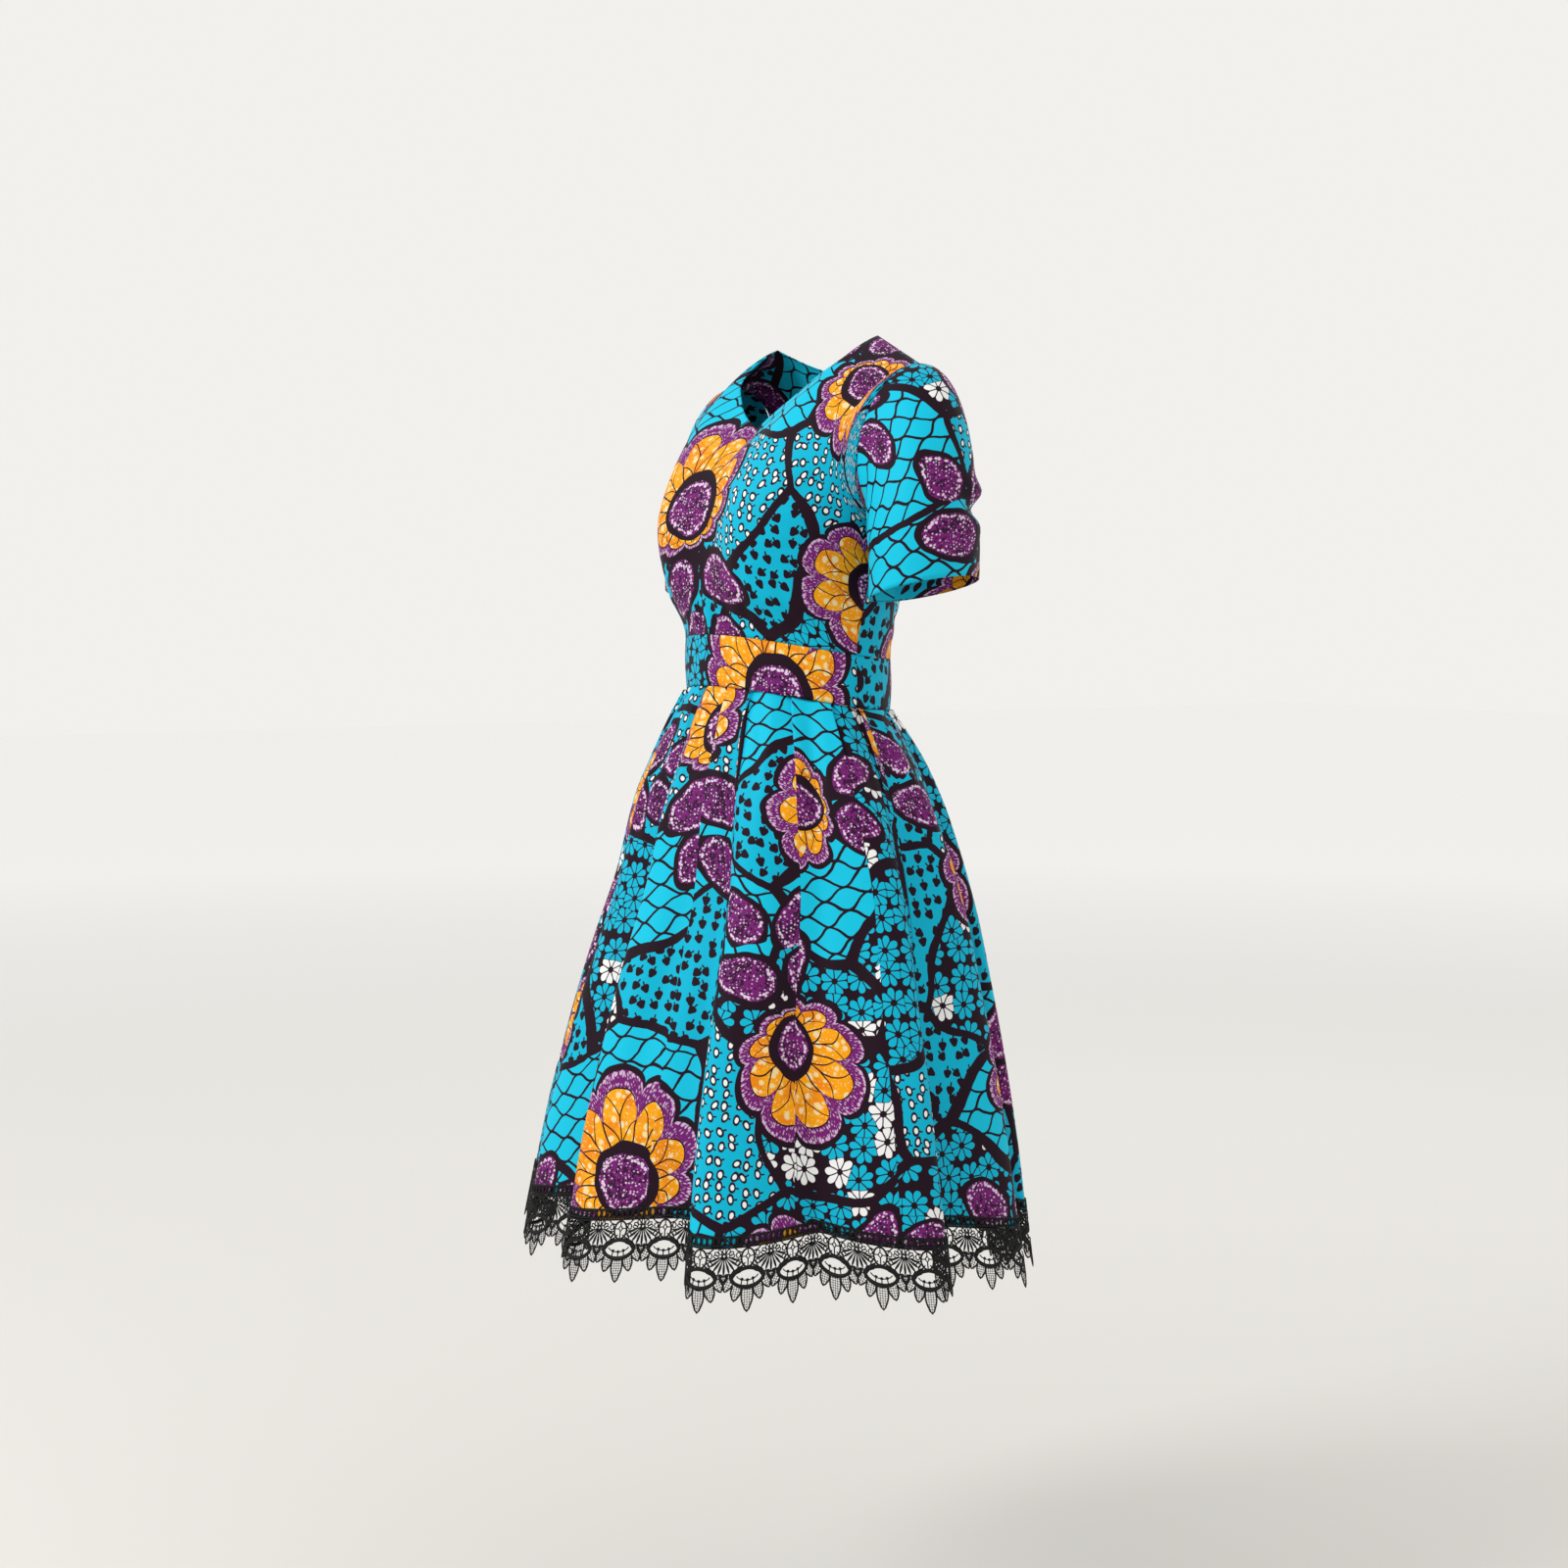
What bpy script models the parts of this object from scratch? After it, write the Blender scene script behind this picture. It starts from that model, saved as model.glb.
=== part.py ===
"""A knee-length fit-and-flare dress in printed cotton, with a lace border at its hem.

Units are metres and +Z is up. The front faces -Y and the wearer's left side is +X.
The origin lies midway between the two shoulder seams, where the shoulders carry the dress.
Angles run round the body from centre front (0) over the left side (90) to centre back (180).
"""
import bisect
import math
from collections import namedtuple

import bmesh
import bpy
from mathutils import Matrix, Vector

COLLECTION = "ankara_dress"
CUTTERS = "cutters"

# Walls and seams
CLOTH_WALL = 0.0015
LACE_WALL = 0.0012
SEAM_GAP = 0.0003
SHOULDER_GAP = 0.0022
SIDE_SEAM_GAP = 0.0005

# Torso rings, from the waist seam up to the chest
TorsoLevel = namedtuple("TorsoLevel", "height half_width front_depth back_depth centre_y")
TORSO = (
    TorsoLevel(-0.400, 0.1250, 0.095, 0.095, -0.036),
    TorsoLevel(-0.340, 0.1250, 0.095, 0.095, -0.036),
    TorsoLevel(-0.295, 0.1260, 0.096, 0.096, -0.036),
    TorsoLevel(-0.250, 0.1320, 0.100, 0.099, -0.031),
    TorsoLevel(-0.205, 0.1410, 0.100, 0.104, -0.024),
    TorsoLevel(-0.165, 0.1470, 0.099, 0.106, -0.018),
    TorsoLevel(-0.120, 0.1490, 0.097, 0.103, -0.013),
    TorsoLevel(-0.080, 0.1490, 0.094, 0.099, -0.010),
)
BUST_X = 0.085
BUST_HEIGHT = -0.165
BUST_PUSH = 0.041
BUST_SPREAD_X = 0.046
BUST_SPREAD_UP = 0.050
BUST_SPREAD_DOWN = 0.064
BUST_FADE = 0.045
BUST_TURN_RATE = 2.2

# Tucks let into the front waist seam
TUCK_SPACING = 0.024
TUCK_REACH_X = 0.066
TUCK_HEIGHT = 0.062
TUCK_DEPTH = 0.0026
TUCK_RISE_RATE = 3.0

# Waistband, tilted so that it sits higher in front
BAND_SIDE_HEIGHT = -0.303
BAND_TILT = 0.0125
BAND_FRONT_LIFT = 0.0075
BAND_WIDTH = 0.052
BAND_BULGE = 0.0012
BAND_FRONT_STEPS = 24
BAND_BACK_STEPS = 12

# Top edge of the bodice: the point, and how far before it the cloth starts to turn
EdgePoint = namedtuple("EdgePoint", "x y z lead_x lead_y lead_z")
NECK_FRONT = (
    EdgePoint(0.000, -0.073, -0.074, 0.000, -0.014, -0.022),
    EdgePoint(0.026, -0.070, -0.060, 0.001, -0.017, -0.024),
    EdgePoint(0.050, -0.060, -0.043, 0.002, -0.023, -0.025),
    EdgePoint(0.074, -0.045, -0.022, 0.002, -0.030, -0.025),
    EdgePoint(0.088, -0.018, -0.001, 0.001, -0.042, -0.023),
    EdgePoint(0.092, 0.012, 0.017, 0.000, -0.050, -0.018),
)
NECK_BACK = (
    EdgePoint(0.092, 0.012, 0.017, 0.000, 0.042, -0.016),
    EdgePoint(0.080, 0.040, 0.003, 0.000, 0.024, -0.022),
    EdgePoint(0.050, 0.057, -0.009, 0.000, 0.013, -0.026),
    EdgePoint(0.022, 0.063, -0.013, 0.000, 0.009, -0.028),
    EdgePoint(0.000, 0.064, -0.014, 0.000, 0.008, -0.028),
)
SHOULDER_TIP = Vector((0.165, 0.0105, -0.0165))
SHOULDER_LEAD_FRONT = Vector((-0.010, -0.046, -0.012))
SHOULDER_LEAD_BACK = Vector((-0.010, 0.044, -0.010))
ARMHOLE_LEAD_SIDE = Vector((-0.012, 0.016, -0.020))
UNDERARM_LEAD = Vector((0.000, 0.000, -0.012))
UNDERARM_HEIGHT = -0.160
UNDERARM_Y = -0.0175
ARMHOLE_X = 0.1490
ARMHOLE_TOP_REACH = 0.016
ARMHOLE_HALF_DEPTH = 0.050

# Chest ring, where the lower bodice hands over to the yoke
CHEST_FRONT_HEIGHT = -0.130
CHEST_SIDE_DROP = 0.050
NECK_COLUMNS_FRONT = 9
NECK_COLUMNS_BACK = 5
SHOULDER_COLUMNS = 2
ARMHOLE_COLUMNS = 5
NECK_CHEST_ANGLE = 37.0
SHOULDER_CHEST_ANGLE = 55.0
LOWER_ROWS = 6
YOKE_SHARES = (0.0, 0.30, 0.57, 0.81, 1.0)
YOKE_CURVE = 0.36
CHEST_SLOPE_STEP = 0.010

# Sleeve: an oval hem ring below the armhole, with one bent crease at the back
SLEEVE_CENTRE = Vector((0.1935, -0.004, -0.238))
SLEEVE_RADIUS_X = 0.050
SLEEVE_RADIUS_Y = 0.056
SLEEVE_TILT_SIDE = 0.012
SLEEVE_TILT_FRONT = -0.004
SLEEVE_COLUMNS = 20
SLEEVE_ROWS = 8
SLEEVE_SEAM_CLEARANCE = 0.0015
SLEEVE_UNDERARM_DROP = 0.0003
CapLead = namedtuple("CapLead", "under_x over_x under_z over_z")
SLEEVE_LEAVE = CapLead(0.004, 0.046, -0.034, 0.030)
SLEEVE_ARRIVE = CapLead(0.000, 0.004, 0.034, 0.075)
CREASE_HEIGHT = -0.160
CREASE_SPREAD = 0.018
CREASE_DEPTH = 0.010
CREASE_ANGLE = 300.0

# Skirt: rings that fall from the band, as shares of the drop
SkirtLevel = namedtuple("SkirtLevel", "share half_width half_depth centre_y fold_share")
SKIRT = (
    SkirtLevel(0.000, 0.1275, 0.0975, -0.036, 0.00),
    SkirtLevel(0.045, 0.1420, 0.1110, -0.035, 0.06),
    SkirtLevel(0.120, 0.1640, 0.1310, -0.033, 0.18),
    SkirtLevel(0.220, 0.1880, 0.1530, -0.033, 0.34),
    SkirtLevel(0.380, 0.2110, 0.1760, -0.031, 0.52),
    SkirtLevel(0.540, 0.2320, 0.1990, -0.037, 0.68),
    SkirtLevel(0.700, 0.2520, 0.2200, -0.043, 0.82),
    SkirtLevel(0.850, 0.2670, 0.2370, -0.048, 0.92),
    SkirtLevel(1.000, 0.2790, 0.2500, -0.052, 1.00),
)
HEM_HEIGHT = -0.857
HEM_TILT = 0.010
HEM_TILT_ANGLE = -34.0
HEM_CREST_DROP = 0.006

# Skirt folds: crest angle at band and hem, half depth at band and hem, sideways lean at the hem
Fold = namedtuple("Fold", "waist_angle hem_angle waist_depth hem_depth lean")
FOLDS = (
    Fold(-18.0, -15.0, 0.0020, 0.016, -0.017),
    Fold(3.0, 7.0, 0.0025, 0.019, -0.018),
    Fold(38.0, 43.0, 0.0030, 0.024, -0.022),
    Fold(79.0, 87.0, 0.0030, 0.021, 0.021),
    Fold(112.0, 120.0, 0.0025, 0.020, 0.014),
    Fold(140.0, 145.0, 0.0025, 0.023, -0.018),
    Fold(166.0, 169.0, 0.0020, 0.019, 0.016),
    Fold(195.0, 197.0, 0.0030, 0.022, -0.019),
    Fold(228.0, 231.0, 0.0025, 0.020, 0.018),
    Fold(262.0, 263.0, 0.0030, 0.023, -0.017),
    Fold(291.0, 292.0, 0.0025, 0.019, 0.015),
    Fold(318.0, 319.0, 0.0025, 0.020, -0.016),
)
FOLD_PROFILE_STEPS = 960

# Knife pleats at the band: each presses a groove that fades out below
Pleat = namedtuple("Pleat", "angle fade_share depth")
PLEATS = (
    Pleat(-40.0, 0.20, 0.0030), Pleat(-8.0, 0.26, 0.0035), Pleat(14.0, 0.30, 0.0035),
    Pleat(28.0, 0.34, 0.0040), Pleat(51.0, 0.16, 0.0030), Pleat(73.0, 0.24, 0.0040),
    Pleat(92.0, 0.28, 0.0040), Pleat(124.0, 0.24, 0.0035), Pleat(156.0, 0.28, 0.0035),
    Pleat(186.0, 0.20, 0.0030), Pleat(214.0, 0.28, 0.0040), Pleat(246.0, 0.24, 0.0035),
    Pleat(277.0, 0.28, 0.0035), Pleat(303.0, 0.22, 0.0030),
)
PLEAT_SPREAD = 3.2

# Lace: one repeat spans three hem facets; rows are measured down from the hem edge
LACE_REPEATS = 44
FACETS_PER_REPEAT = 3
HEM_FACETS = LACE_REPEATS * FACETS_PER_REPEAT
LaceStation = namedtuple("LaceStation", "heading foot eye_foot bar mouth_foot scallop tip tip_inset")
LACE_STATIONS = (
    LaceStation(-0.011, 0.004, 0.017, 0.023, 0.031, 0.037, 0.0, 0.0),
    LaceStation(-0.011, 0.004, 0.018, 0.025, 0.038, 0.044, 0.061, 0.0048),
    LaceStation(-0.011, 0.004, 0.018, 0.025, 0.038, 0.044, 0.061, -0.0048),
)
LACE_MITRE_LIMIT = 0.5
LACE_OPEN_ROWS = (1, 3)
LACE_MOTIF_FACET = 1
LACE_BOTTOM_ROW = 5

# Skirt seams lie in the hollows between folds: positions counted in folds
RIGHT_SEAM = -2.5
LEFT_SEAM = 3.5
BACK_SEAM = 6.5

# Concealed centre-back zip: only its slider and pull tab show
ZIP_TOP_GAP = 0.004
SLIDER_WIDTH = 0.0056
SLIDER_LENGTH = 0.0100
SLIDER_DEPTH = 0.0022
CHEEK_WIDTH = 0.0011
CHEEK_LENGTH = 0.0034
CHEEK_HEIGHT = 0.0026
CHEEK_SINK = 0.0004
SLIDER_EDGE = 0.0005
SLIDER_EDGE_SEGMENTS = 2
BARREL_RADIUS = 0.0008
BARREL_LENGTH = 0.0026
PULL_LENGTH = 0.0230
PULL_NECK_WIDTH = 0.0022
PULL_END_WIDTH = 0.0068
PULL_THICKNESS = 0.0010
PULL_EDGE = 0.0003
PULL_NECK_SHARE = 0.25
PULL_END_STEPS = 8
WELD_DISTANCE = 0.00001
PIN_SEGMENTS = 16

# Finishes: colour, roughness, metallic
Finish = namedtuple("Finish", "colour roughness metallic")
PRINT_CLOTH = Finish((0.010, 0.440, 0.640), 0.62, 0.0)
LACE_THREAD = Finish((0.012, 0.012, 0.013), 0.70, 0.0)
ZIP_METAL = Finish((0.030, 0.330, 0.480), 0.35, 0.4)


def clear_scene():
    """Remove every object that the scene holds."""
    for item in list(bpy.data.objects):
        bpy.data.objects.remove(item, do_unlink=True)


def new_collection(name):
    """Return a collection of this name, linked to the scene."""
    group = bpy.data.collections.new(name)
    bpy.context.scene.collection.children.link(group)
    return group


def make_material(name, finish):
    """Return a Principled material with this finish."""
    material = bpy.data.materials.new(name)
    material.use_nodes = True
    shader = material.node_tree.nodes["Principled BSDF"]
    shader.inputs["Base Color"].default_value = (*finish.colour, 1.0)
    shader.inputs["Roughness"].default_value = finish.roughness
    shader.inputs["Metallic"].default_value = finish.metallic
    return material


def bell(distance, spread):
    """Return a bell curve of height 1 at distance 0."""
    return math.exp(-0.5 * (distance / spread) ** 2)


def smooth(value):
    """Return a soft step from 0 to 1 as the value goes from 0 to 1."""
    value = min(max(value, 0.0), 1.0)
    return value * value * (3.0 - 2.0 * value)


def read_table(table, key):
    """Return a table row at this key: its first column, read on a smooth curve."""
    keys = [row[0] for row in table]
    upper = min(max(bisect.bisect_right(keys, key), 1), len(keys) - 1)
    rows = [table[min(max(upper + step, 0), len(table) - 1)] for step in (-2, -1, 0, 1)]
    span = rows[2][0] - rows[1][0]
    share = min(max((key - rows[1][0]) / span, 0.0), 1.0)
    values = []
    for before, start, end, after in zip(*rows):
        slope_start = (end - before) * span / max(rows[2][0] - rows[0][0], span)
        slope_end = (after - start) * span / max(rows[3][0] - rows[1][0], span)
        values.append((2 * share ** 3 - 3 * share ** 2 + 1) * start
                      + (share ** 3 - 2 * share ** 2 + share) * slope_start
                      + (3 * share ** 2 - 2 * share ** 3) * end
                      + (share ** 3 - share ** 2) * slope_end)
    return type(table[0])(*values)


def along_points(points, share):
    """Return the point at this share of a row of edge points, with even steps between rows."""
    place = share * (len(points) - 1)
    index = min(int(place), len(points) - 2)
    start = Vector(points[index])
    return Vector(a + (b - a) * (place - index) for a, b in zip(start, Vector(points[index + 1])))


def bezier(first, second, third, fourth, share):
    """Return the point at this share of a cubic curve."""
    rest = 1.0 - share
    return (first * rest ** 3 + second * (3 * rest ** 2 * share)
            + third * (3 * rest * share ** 2) + fourth * share ** 3)


def band_top_height(angle):
    """Return the height of the waist seam, at an angle round the body."""
    turn = math.cos(math.radians(angle))
    return BAND_SIDE_HEIGHT + BAND_TILT * turn + BAND_FRONT_LIFT * turn * turn


def torso_point(angle, height):
    """Return the point on the torso at this angle and height."""
    level = read_table(TORSO, height)
    turn = math.radians(angle)
    depth = level.front_depth if math.cos(turn) > 0 else level.back_depth
    x = level.half_width * math.sin(turn)
    y = level.centre_y - depth * math.cos(turn)
    above_seam = height - band_top_height(angle)
    if math.cos(turn) > 0:
        spread = BUST_SPREAD_UP if height > BUST_HEIGHT else BUST_SPREAD_DOWN
        sides = bell(x - BUST_X, BUST_SPREAD_X) + bell(x + BUST_X, BUST_SPREAD_X)
        push = BUST_PUSH * sides * bell(height - BUST_HEIGHT, spread) * smooth(above_seam / BUST_FADE)
        y -= push * smooth(BUST_TURN_RATE * math.cos(turn))
        tuck = math.cos(2 * math.pi * x / TUCK_SPACING) * smooth(1.0 - abs(x) / TUCK_REACH_X)
        rise = smooth(TUCK_RISE_RATE * above_seam / TUCK_HEIGHT)
        y -= TUCK_DEPTH * tuck * smooth(1.0 - above_seam / TUCK_HEIGHT) * rise
    return Vector((x, y, height))


def armhole_point(angle):
    """Return the left armhole point: angle 0 at the shoulder tip, 90 in front, 180 at the underarm."""
    turn = math.radians(angle)
    lift = 0.5 * (1.0 + math.cos(turn))
    x = ARMHOLE_X + ARMHOLE_TOP_REACH * lift ** 1.5
    y = UNDERARM_Y + (SHOULDER_TIP.y - UNDERARM_Y) * lift - ARMHOLE_HALF_DEPTH * math.sin(turn)
    z = UNDERARM_HEIGHT + (SHOULDER_TIP.z - UNDERARM_HEIGHT) * lift
    return Vector((x, y, z))


def top_edge(in_front):
    """Return the columns of one half: chest angle, top point and the lead into it, from the centre."""
    sign = 1.0 if in_front else -1.0
    neck = NECK_FRONT if in_front else tuple(reversed(NECK_BACK))
    neck_columns = NECK_COLUMNS_FRONT if in_front else NECK_COLUMNS_BACK
    tip_lead = SHOULDER_LEAD_FRONT if in_front else SHOULDER_LEAD_BACK
    side_lead = Vector((ARMHOLE_LEAD_SIDE.x, -sign * ARMHOLE_LEAD_SIDE.y, ARMHOLE_LEAD_SIDE.z))
    columns = []
    for index in range(neck_columns + 1):
        share = index / neck_columns
        row = along_points(neck, share)
        columns.append((NECK_CHEST_ANGLE * share, Vector(row[:3]), Vector(row[3:])))
    neck_point = columns[-1][1]
    neck_lead = columns[-1][2]
    for index in range(1, SHOULDER_COLUMNS + 1):
        share = index / SHOULDER_COLUMNS
        angle = NECK_CHEST_ANGLE + (SHOULDER_CHEST_ANGLE - NECK_CHEST_ANGLE) * share
        columns.append((angle, neck_point.lerp(SHOULDER_TIP, share), neck_lead.lerp(tip_lead, share)))
    for index in range(1, ARMHOLE_COLUMNS + 1):
        share = index / ARMHOLE_COLUMNS
        angle = SHOULDER_CHEST_ANGLE + (90.0 - SHOULDER_CHEST_ANGLE) * share
        if share < 0.5:
            lead = tip_lead.lerp(side_lead, 2.0 * share)
        else:
            lead = side_lead.lerp(UNDERARM_LEAD, 2.0 * share - 1.0)
        columns.append((angle, armhole_point(sign * 180.0 * share), lead))
    if in_front:
        return columns
    return [(180.0 - angle, point, lead) for angle, point, lead in columns]


def bodice_column(angle, top, lead):
    """Return the points of one bodice column, from the waist seam up to the top edge."""
    side = math.sin(math.radians(angle)) ** 2
    chest_height = CHEST_FRONT_HEIGHT - CHEST_SIDE_DROP * side
    seam_height = band_top_height(angle)
    points = []
    for row in range(LOWER_ROWS):
        share = row / LOWER_ROWS
        points.append(torso_point(angle, seam_height + (chest_height - seam_height) * share))
    chest = torso_point(angle, chest_height)
    rise = (chest - torso_point(angle, chest_height - CHEST_SLOPE_STEP)).normalized()
    reach = YOKE_CURVE * (top - chest).length
    for share in YOKE_SHARES:
        points.append(bezier(chest, chest + rise * reach, top + lead, top, share))
    return points


def trim(columns, start=0.0, end=0.0, bottom=0.0, top=0.0):
    """Draw the outer edges of a grid of columns in by these distances."""
    grid = [[point.copy() for point in column] for column in columns]
    for column in grid:
        column[0] += (column[1] - column[0]).normalized() * bottom
        column[-1] += (column[-2] - column[-1]).normalized() * top
    for row in range(len(grid[0])):
        grid[0][row] += (grid[1][row] - grid[0][row]).normalized() * start
        grid[-1][row] += (grid[-2][row] - grid[-1][row]).normalized() * end
    return grid


def add_wall(name, columns, material, group, thickness, closed=False, open_cells=()):
    """Add a cloth wall whose outer face follows these columns of points, each from bottom to top."""
    rows = len(columns[0])
    points = [point for column in columns for point in column]
    faces = []
    last = len(columns) if closed else len(columns) - 1
    for column in range(last):
        beside = (column + 1) % len(columns)
        for row in range(rows - 1):
            if (column, row) in open_cells:
                continue
            faces.append((column * rows + row, beside * rows + row,
                          beside * rows + row + 1, column * rows + row + 1))
    mesh = bpy.data.meshes.new(name)
    mesh.from_pydata(points, [], faces)
    loose = bmesh.new()
    loose.from_mesh(mesh)
    bmesh.ops.delete(loose, geom=[vert for vert in loose.verts if not vert.link_faces], context="VERTS")
    loose.to_mesh(mesh)
    loose.free()
    wall = bpy.data.objects.new(name, mesh)
    wall.data.materials.append(material)
    group.objects.link(wall)
    solidify = wall.modifiers.new("cloth_wall", "SOLIDIFY")
    solidify.thickness = thickness
    solidify.offset = -1.0
    solidify.use_even_offset = False
    mesh.shade_smooth()
    return wall


def mirrored(columns):
    """Return columns of the other side of the body, still running the same way round."""
    return [[Vector((-point.x, point.y, point.z)) for point in column] for column in reversed(columns)]


def build_bodice(group):
    """Add the front bodice and the two back halves."""
    half_seam = 0.5 * SEAM_GAP
    half_side = 0.5 * SIDE_SEAM_GAP
    front_left = [bodice_column(*column) for column in top_edge(True)]
    front = mirrored(front_left)[:-1] + front_left
    front = trim(front, half_side, half_side, half_seam, 0.0)
    back_left = [bodice_column(*column) for column in reversed(top_edge(False))]
    shoulder = range(ARMHOLE_COLUMNS, ARMHOLE_COLUMNS + SHOULDER_COLUMNS + 1)
    drop_shoulder_edge(back_left, shoulder)
    shoulder_left = [len(front) - 1 - index for index in shoulder]
    drop_shoulder_edge(front, list(shoulder) + shoulder_left)
    back_left = trim(back_left, half_side, half_seam, half_seam, 0.0)
    add_wall("bodice_front", front, make_material("print_bodice_front", PRINT_CLOTH), group, CLOTH_WALL)
    add_wall("bodice_back_left", back_left, make_material("print_back_left", PRINT_CLOTH), group, CLOTH_WALL)
    add_wall("bodice_back_right", mirrored(back_left), make_material("print_back_right", PRINT_CLOTH),
             group, CLOTH_WALL)
    return back_left


def drop_shoulder_edge(columns, indices):
    """Draw the shoulder seam edge of these columns back, so that the two walls clear at the ridge."""
    for index in indices:
        column = columns[index]
        column[-1] += (column[-2] - column[-1]).normalized() * (0.5 * SHOULDER_GAP)


def sleeve_column(angle):
    """Return the points of one left sleeve column, from the hem up to the armhole."""
    turn = math.radians(angle)
    start = armhole_point(angle)
    outward = 0.5 * (1.0 + math.cos(turn))
    start = start + Vector((SLEEVE_SEAM_CLEARANCE, 0.0, -SLEEVE_UNDERARM_DROP * (1.0 - outward)))
    end = SLEEVE_CENTRE + Vector((SLEEVE_RADIUS_X * math.cos(turn), -SLEEVE_RADIUS_Y * math.sin(turn),
                                  SLEEVE_TILT_SIDE * math.cos(turn) + SLEEVE_TILT_FRONT * math.sin(turn)))
    leave, arrive = (Vector((lead.under_x + lead.over_x * outward, 0.0,
                             lead.under_z + lead.over_z * outward))
                     for lead in (SLEEVE_LEAVE, SLEEVE_ARRIVE))
    points = []
    for row in range(SLEEVE_ROWS + 1):
        point = bezier(end, end + arrive, start + leave, start, row / SLEEVE_ROWS)
        facing = max(math.cos(math.radians(angle - CREASE_ANGLE)), 0.0)
        dent = CREASE_DEPTH * facing * bell(point.z - CREASE_HEIGHT, CREASE_SPREAD)
        points.append(point - Vector((math.cos(turn), -math.sin(turn), 0.0)) * dent)
    return points


def build_sleeves(group):
    """Add the two set-in sleeves."""
    left = [sleeve_column(-360.0 * index / SLEEVE_COLUMNS) for index in range(SLEEVE_COLUMNS)]
    for name, columns in (("sleeve_left", left), ("sleeve_right", mirrored(left))):
        add_wall(name, columns, make_material("print_" + name, PRINT_CLOTH), group, CLOTH_WALL, True)


def band_column(angle):
    """Return the points of one waistband column, from its lower to its upper seam."""
    top = band_top_height(angle)
    out = Vector((math.sin(math.radians(angle)), -math.cos(math.radians(angle)), 0.0))
    points = [torso_point(angle, top - BAND_WIDTH * share) for share in (1.0, 0.5, 0.0)]
    points[1] += out * BAND_BULGE
    return points


def build_waistband(group):
    """Add the waistband in front and its two halves behind."""
    half_seam = 0.5 * SEAM_GAP
    spans = (("waistband_front", -90.0, 90.0, BAND_FRONT_STEPS),
             ("waistband_back_left", 90.0, 180.0, BAND_BACK_STEPS),
             ("waistband_back_right", 180.0, 270.0, BAND_BACK_STEPS))
    for name, start, end, steps in spans:
        columns = [band_column(start + (end - start) * index / steps) for index in range(steps + 1)]
        columns = trim(columns, half_seam, half_seam, half_seam, half_seam)
        add_wall(name, columns, make_material("print_" + name, PRINT_CLOTH), group, CLOTH_WALL)


def fold_state(position):
    """Return crest angles, depths, lean and phase at a position counted in folds round the skirt."""
    index = math.floor(position)
    share = position - index
    here = FOLDS[index % len(FOLDS)]
    beyond = FOLDS[(index + 1) % len(FOLDS)]
    turn_here = 360.0 * (index // len(FOLDS))
    turn_beyond = 360.0 * ((index + 1) // len(FOLDS))
    mixed = [a + (b - a) * share for a, b in zip(here, beyond)]
    mixed[0] = here.waist_angle + turn_here + (beyond.waist_angle + turn_beyond
                                               - here.waist_angle - turn_here) * share
    mixed[1] = here.hem_angle + turn_here + (beyond.hem_angle + turn_beyond
                                             - here.hem_angle - turn_here) * share
    lean_share = smooth(share)
    mixed[4] = here.lean * (1.0 - lean_share) + beyond.lean * lean_share
    return Fold(*mixed), 2.0 * math.pi * share


def skirt_point(position, share):
    """Return the skirt point at a position in folds and a share of the drop from band to hem."""
    fold, phase = fold_state(position)
    level = read_table(SKIRT, share)
    angle = fold.waist_angle + (fold.hem_angle - fold.waist_angle) * share
    depth = fold.waist_depth + (fold.hem_depth - fold.waist_depth) * level.fold_share
    turn = math.radians(angle)
    outward = Vector((math.sin(turn), -math.cos(turn), 0.0))
    sideways = Vector((math.cos(turn), math.sin(turn), 0.0))
    point = Vector((level.half_width * math.sin(turn),
                    level.centre_y - level.half_depth * math.cos(turn), 0.0))
    point -= outward * depth * (1.0 - math.cos(phase))
    point += sideways * fold.lean * level.fold_share * math.cos(phase)
    for pleat in PLEATS:
        away = (angle - pleat.angle + 180.0) % 360.0 - 180.0
        fade = smooth(1.0 - share / pleat.fade_share)
        point -= outward * pleat.depth * fade * bell(away, PLEAT_SPREAD)
    seam_height = band_top_height(angle) - BAND_WIDTH - SEAM_GAP
    hem_height = HEM_HEIGHT + HEM_TILT * math.cos(math.radians(angle - HEM_TILT_ANGLE))
    hem_height -= HEM_CREST_DROP * math.cos(phase)
    point.z = seam_height + (hem_height - seam_height) * share
    return point


def hem_positions():
    """Return positions in folds that part the hem into facets of equal length, from the right side seam."""
    fine = [RIGHT_SEAM + len(FOLDS) * step / FOLD_PROFILE_STEPS for step in range(FOLD_PROFILE_STEPS + 1)]
    lengths = [0.0]
    for before, after in zip(fine, fine[1:]):
        lengths.append(lengths[-1] + (skirt_point(after, 1.0) - skirt_point(before, 1.0)).length)
    positions = []
    for facet in range(HEM_FACETS):
        target = lengths[-1] * facet / HEM_FACETS
        index = max(bisect.bisect_right(lengths, target) - 1, 0)
        share = (target - lengths[index]) / (lengths[index + 1] - lengths[index])
        positions.append(fine[index] + (fine[index + 1] - fine[index]) * share)
    return positions


def skirt_columns(positions):
    """Return the columns round the skirt, each from the hem up to the band."""
    shares = [level.share for level in reversed(SKIRT)]
    return [[skirt_point(position, share) for share in shares] for position in positions]


def build_skirt(group, columns, left_seam, back_seam):
    """Add the skirt front and its two back halves, parted at side seams and centre back."""
    half_seam = 0.5 * SEAM_GAP
    closed = columns + columns[:1]
    spans = (("skirt_front", 0, left_seam), ("skirt_back_left", left_seam, back_seam),
             ("skirt_back_right", back_seam, HEM_FACETS))
    for name, first, last in spans:
        panel = trim(closed[first:last + 1], half_seam, half_seam, 0.0, 0.0)
        add_wall(name, panel, make_material("print_" + name, PRINT_CLOTH), group, CLOTH_WALL)


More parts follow.
